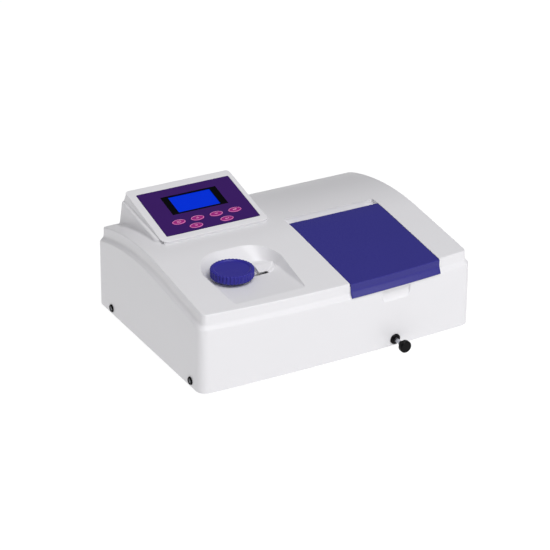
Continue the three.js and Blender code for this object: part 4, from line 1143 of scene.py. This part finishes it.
CAD_FINISH = {
    sheet_steel: ["base_plate", "lamp_housing", "data_port", "power_supply"],
    liner: ["sample_well", "fan_frame", "fan_rotor"],
    black: ["power_inlet", "power_switch_frame", "power_switch_rocker"],
    foam: ["lid_seal"],
    steel: ["lid_hinge_pin", "arm_spring", "entrance_slit", "exit_slit"],
    turned_steel: ["knob_shaft"],
    aluminium: ["wavelength_cam", "grating_arm", "grating_holder", "optics_bench"],
    anodised: ["cuvette_carrier", "monochromator_case", "monochromator_cover", "detector_housing"],
    brass: ["shaft_bushing", "lower_bearing"],
    quartz: ["halogen_lamp"],
    mirror_metal: ["collimating_mirror", "focusing_mirror", "diffraction_grating"],
    board: ["keypad_board", "main_board"],
    ceramic: ["lamp_socket"],
    dial_white: ["wavelength_dial"],
}
for material, nodes in CAD_FINISH.items():
    for node in nodes:
        mesh = frame["nodes"][node].data
        mesh.materials.clear()
        mesh.materials.append(material)

# ------------------------------------------------------------------ stage, light and camera


def build_stage():
    sheet = Sheet()
    edge = 6000.0
    grid = spread(-edge, edge, 6)
    for x0, x1 in zip(grid, grid[1:]):
        for y0, y1 in zip(grid, grid[1:]):
            sheet.face([(x0, y0, 0), (x1, y0, 0), (x1, y1, 0), (x0, y1, 0)])
    mesh = bpy.data.meshes.new("floor")
    mesh.from_pydata([(x * MM, y * MM, z * MM) for x, y, z in sheet.points], [], sheet.faces)
    floor = bpy.data.objects.new("floor", mesh)
    bpy.context.scene.collection.objects.link(floor)
    paper = finish("pale_floor", (0.12, 0.12, 0.12, 1.0), 0.9, vary=0.01, grain=400, bump=0.0)
    paper.node_tree.nodes["Principled BSDF"].inputs["Emission Color"].default_value = (1, 1, 1, 1)
    paper.node_tree.nodes["Principled BSDF"].inputs["Emission Strength"].default_value = 0.95
    mesh.materials.append(paper)


build_stage()

world = bpy.data.worlds.new("studio")
world.use_nodes = True
world.node_tree.nodes["Background"].inputs["Color"].default_value = (0.98, 0.985, 1.0, 1.0)
world.node_tree.nodes["Background"].inputs["Strength"].default_value = 0.2
bpy.context.scene.world = world


def softbox(name, at, aim, size, power, colour=(1.0, 1.0, 1.0)):
    light = bpy.data.lights.new(name, "AREA")
    light.shape, light.size, light.size_y = "RECTANGLE", size[0], size[1]
    light.energy, light.color = power, colour
    lamp = bpy.data.objects.new(name, light)
    lamp.location = at
    lamp.rotation_euler = (Vector(aim) - Vector(at)).to_track_quat("-Z", "Y").to_euler()
    bpy.context.scene.collection.objects.link(lamp)


softbox("key_light", (0.0, -1.8, 2.88), (0, 0, 0.08), (2.2, 2.2), 84)
softbox("low_light", (1.5, -2.7, 0.91), (0, 0, 0.08), (0.7, 0.7), 9)
softbox("left_light", (-1.86, -1.03, 2.2), (0, 0, 0.08), (0.6, 0.6), 3.5)

camera_data = bpy.data.cameras.new("camera")
camera = bpy.data.objects.new("camera", camera_data)
bpy.context.scene.collection.objects.link(camera)
camera_data.lens = 131.2
camera_data.clip_end = 50
azimuth, elevation = math.radians(-29.288), math.radians(25.83)
away = Vector(
    (math.sin(azimuth) * math.cos(elevation), -math.cos(azimuth) * math.cos(elevation), math.sin(elevation))
)
target = Vector((-7.376, 7.031 + SHIFT_Y, 65.28)) * MM
camera.location = target + away * 2.82785
camera.rotation_euler = (-away).to_track_quat("-Z", "Y").to_euler()
bpy.context.scene.camera = camera
bpy.context.scene.view_settings.view_transform = "Standard"
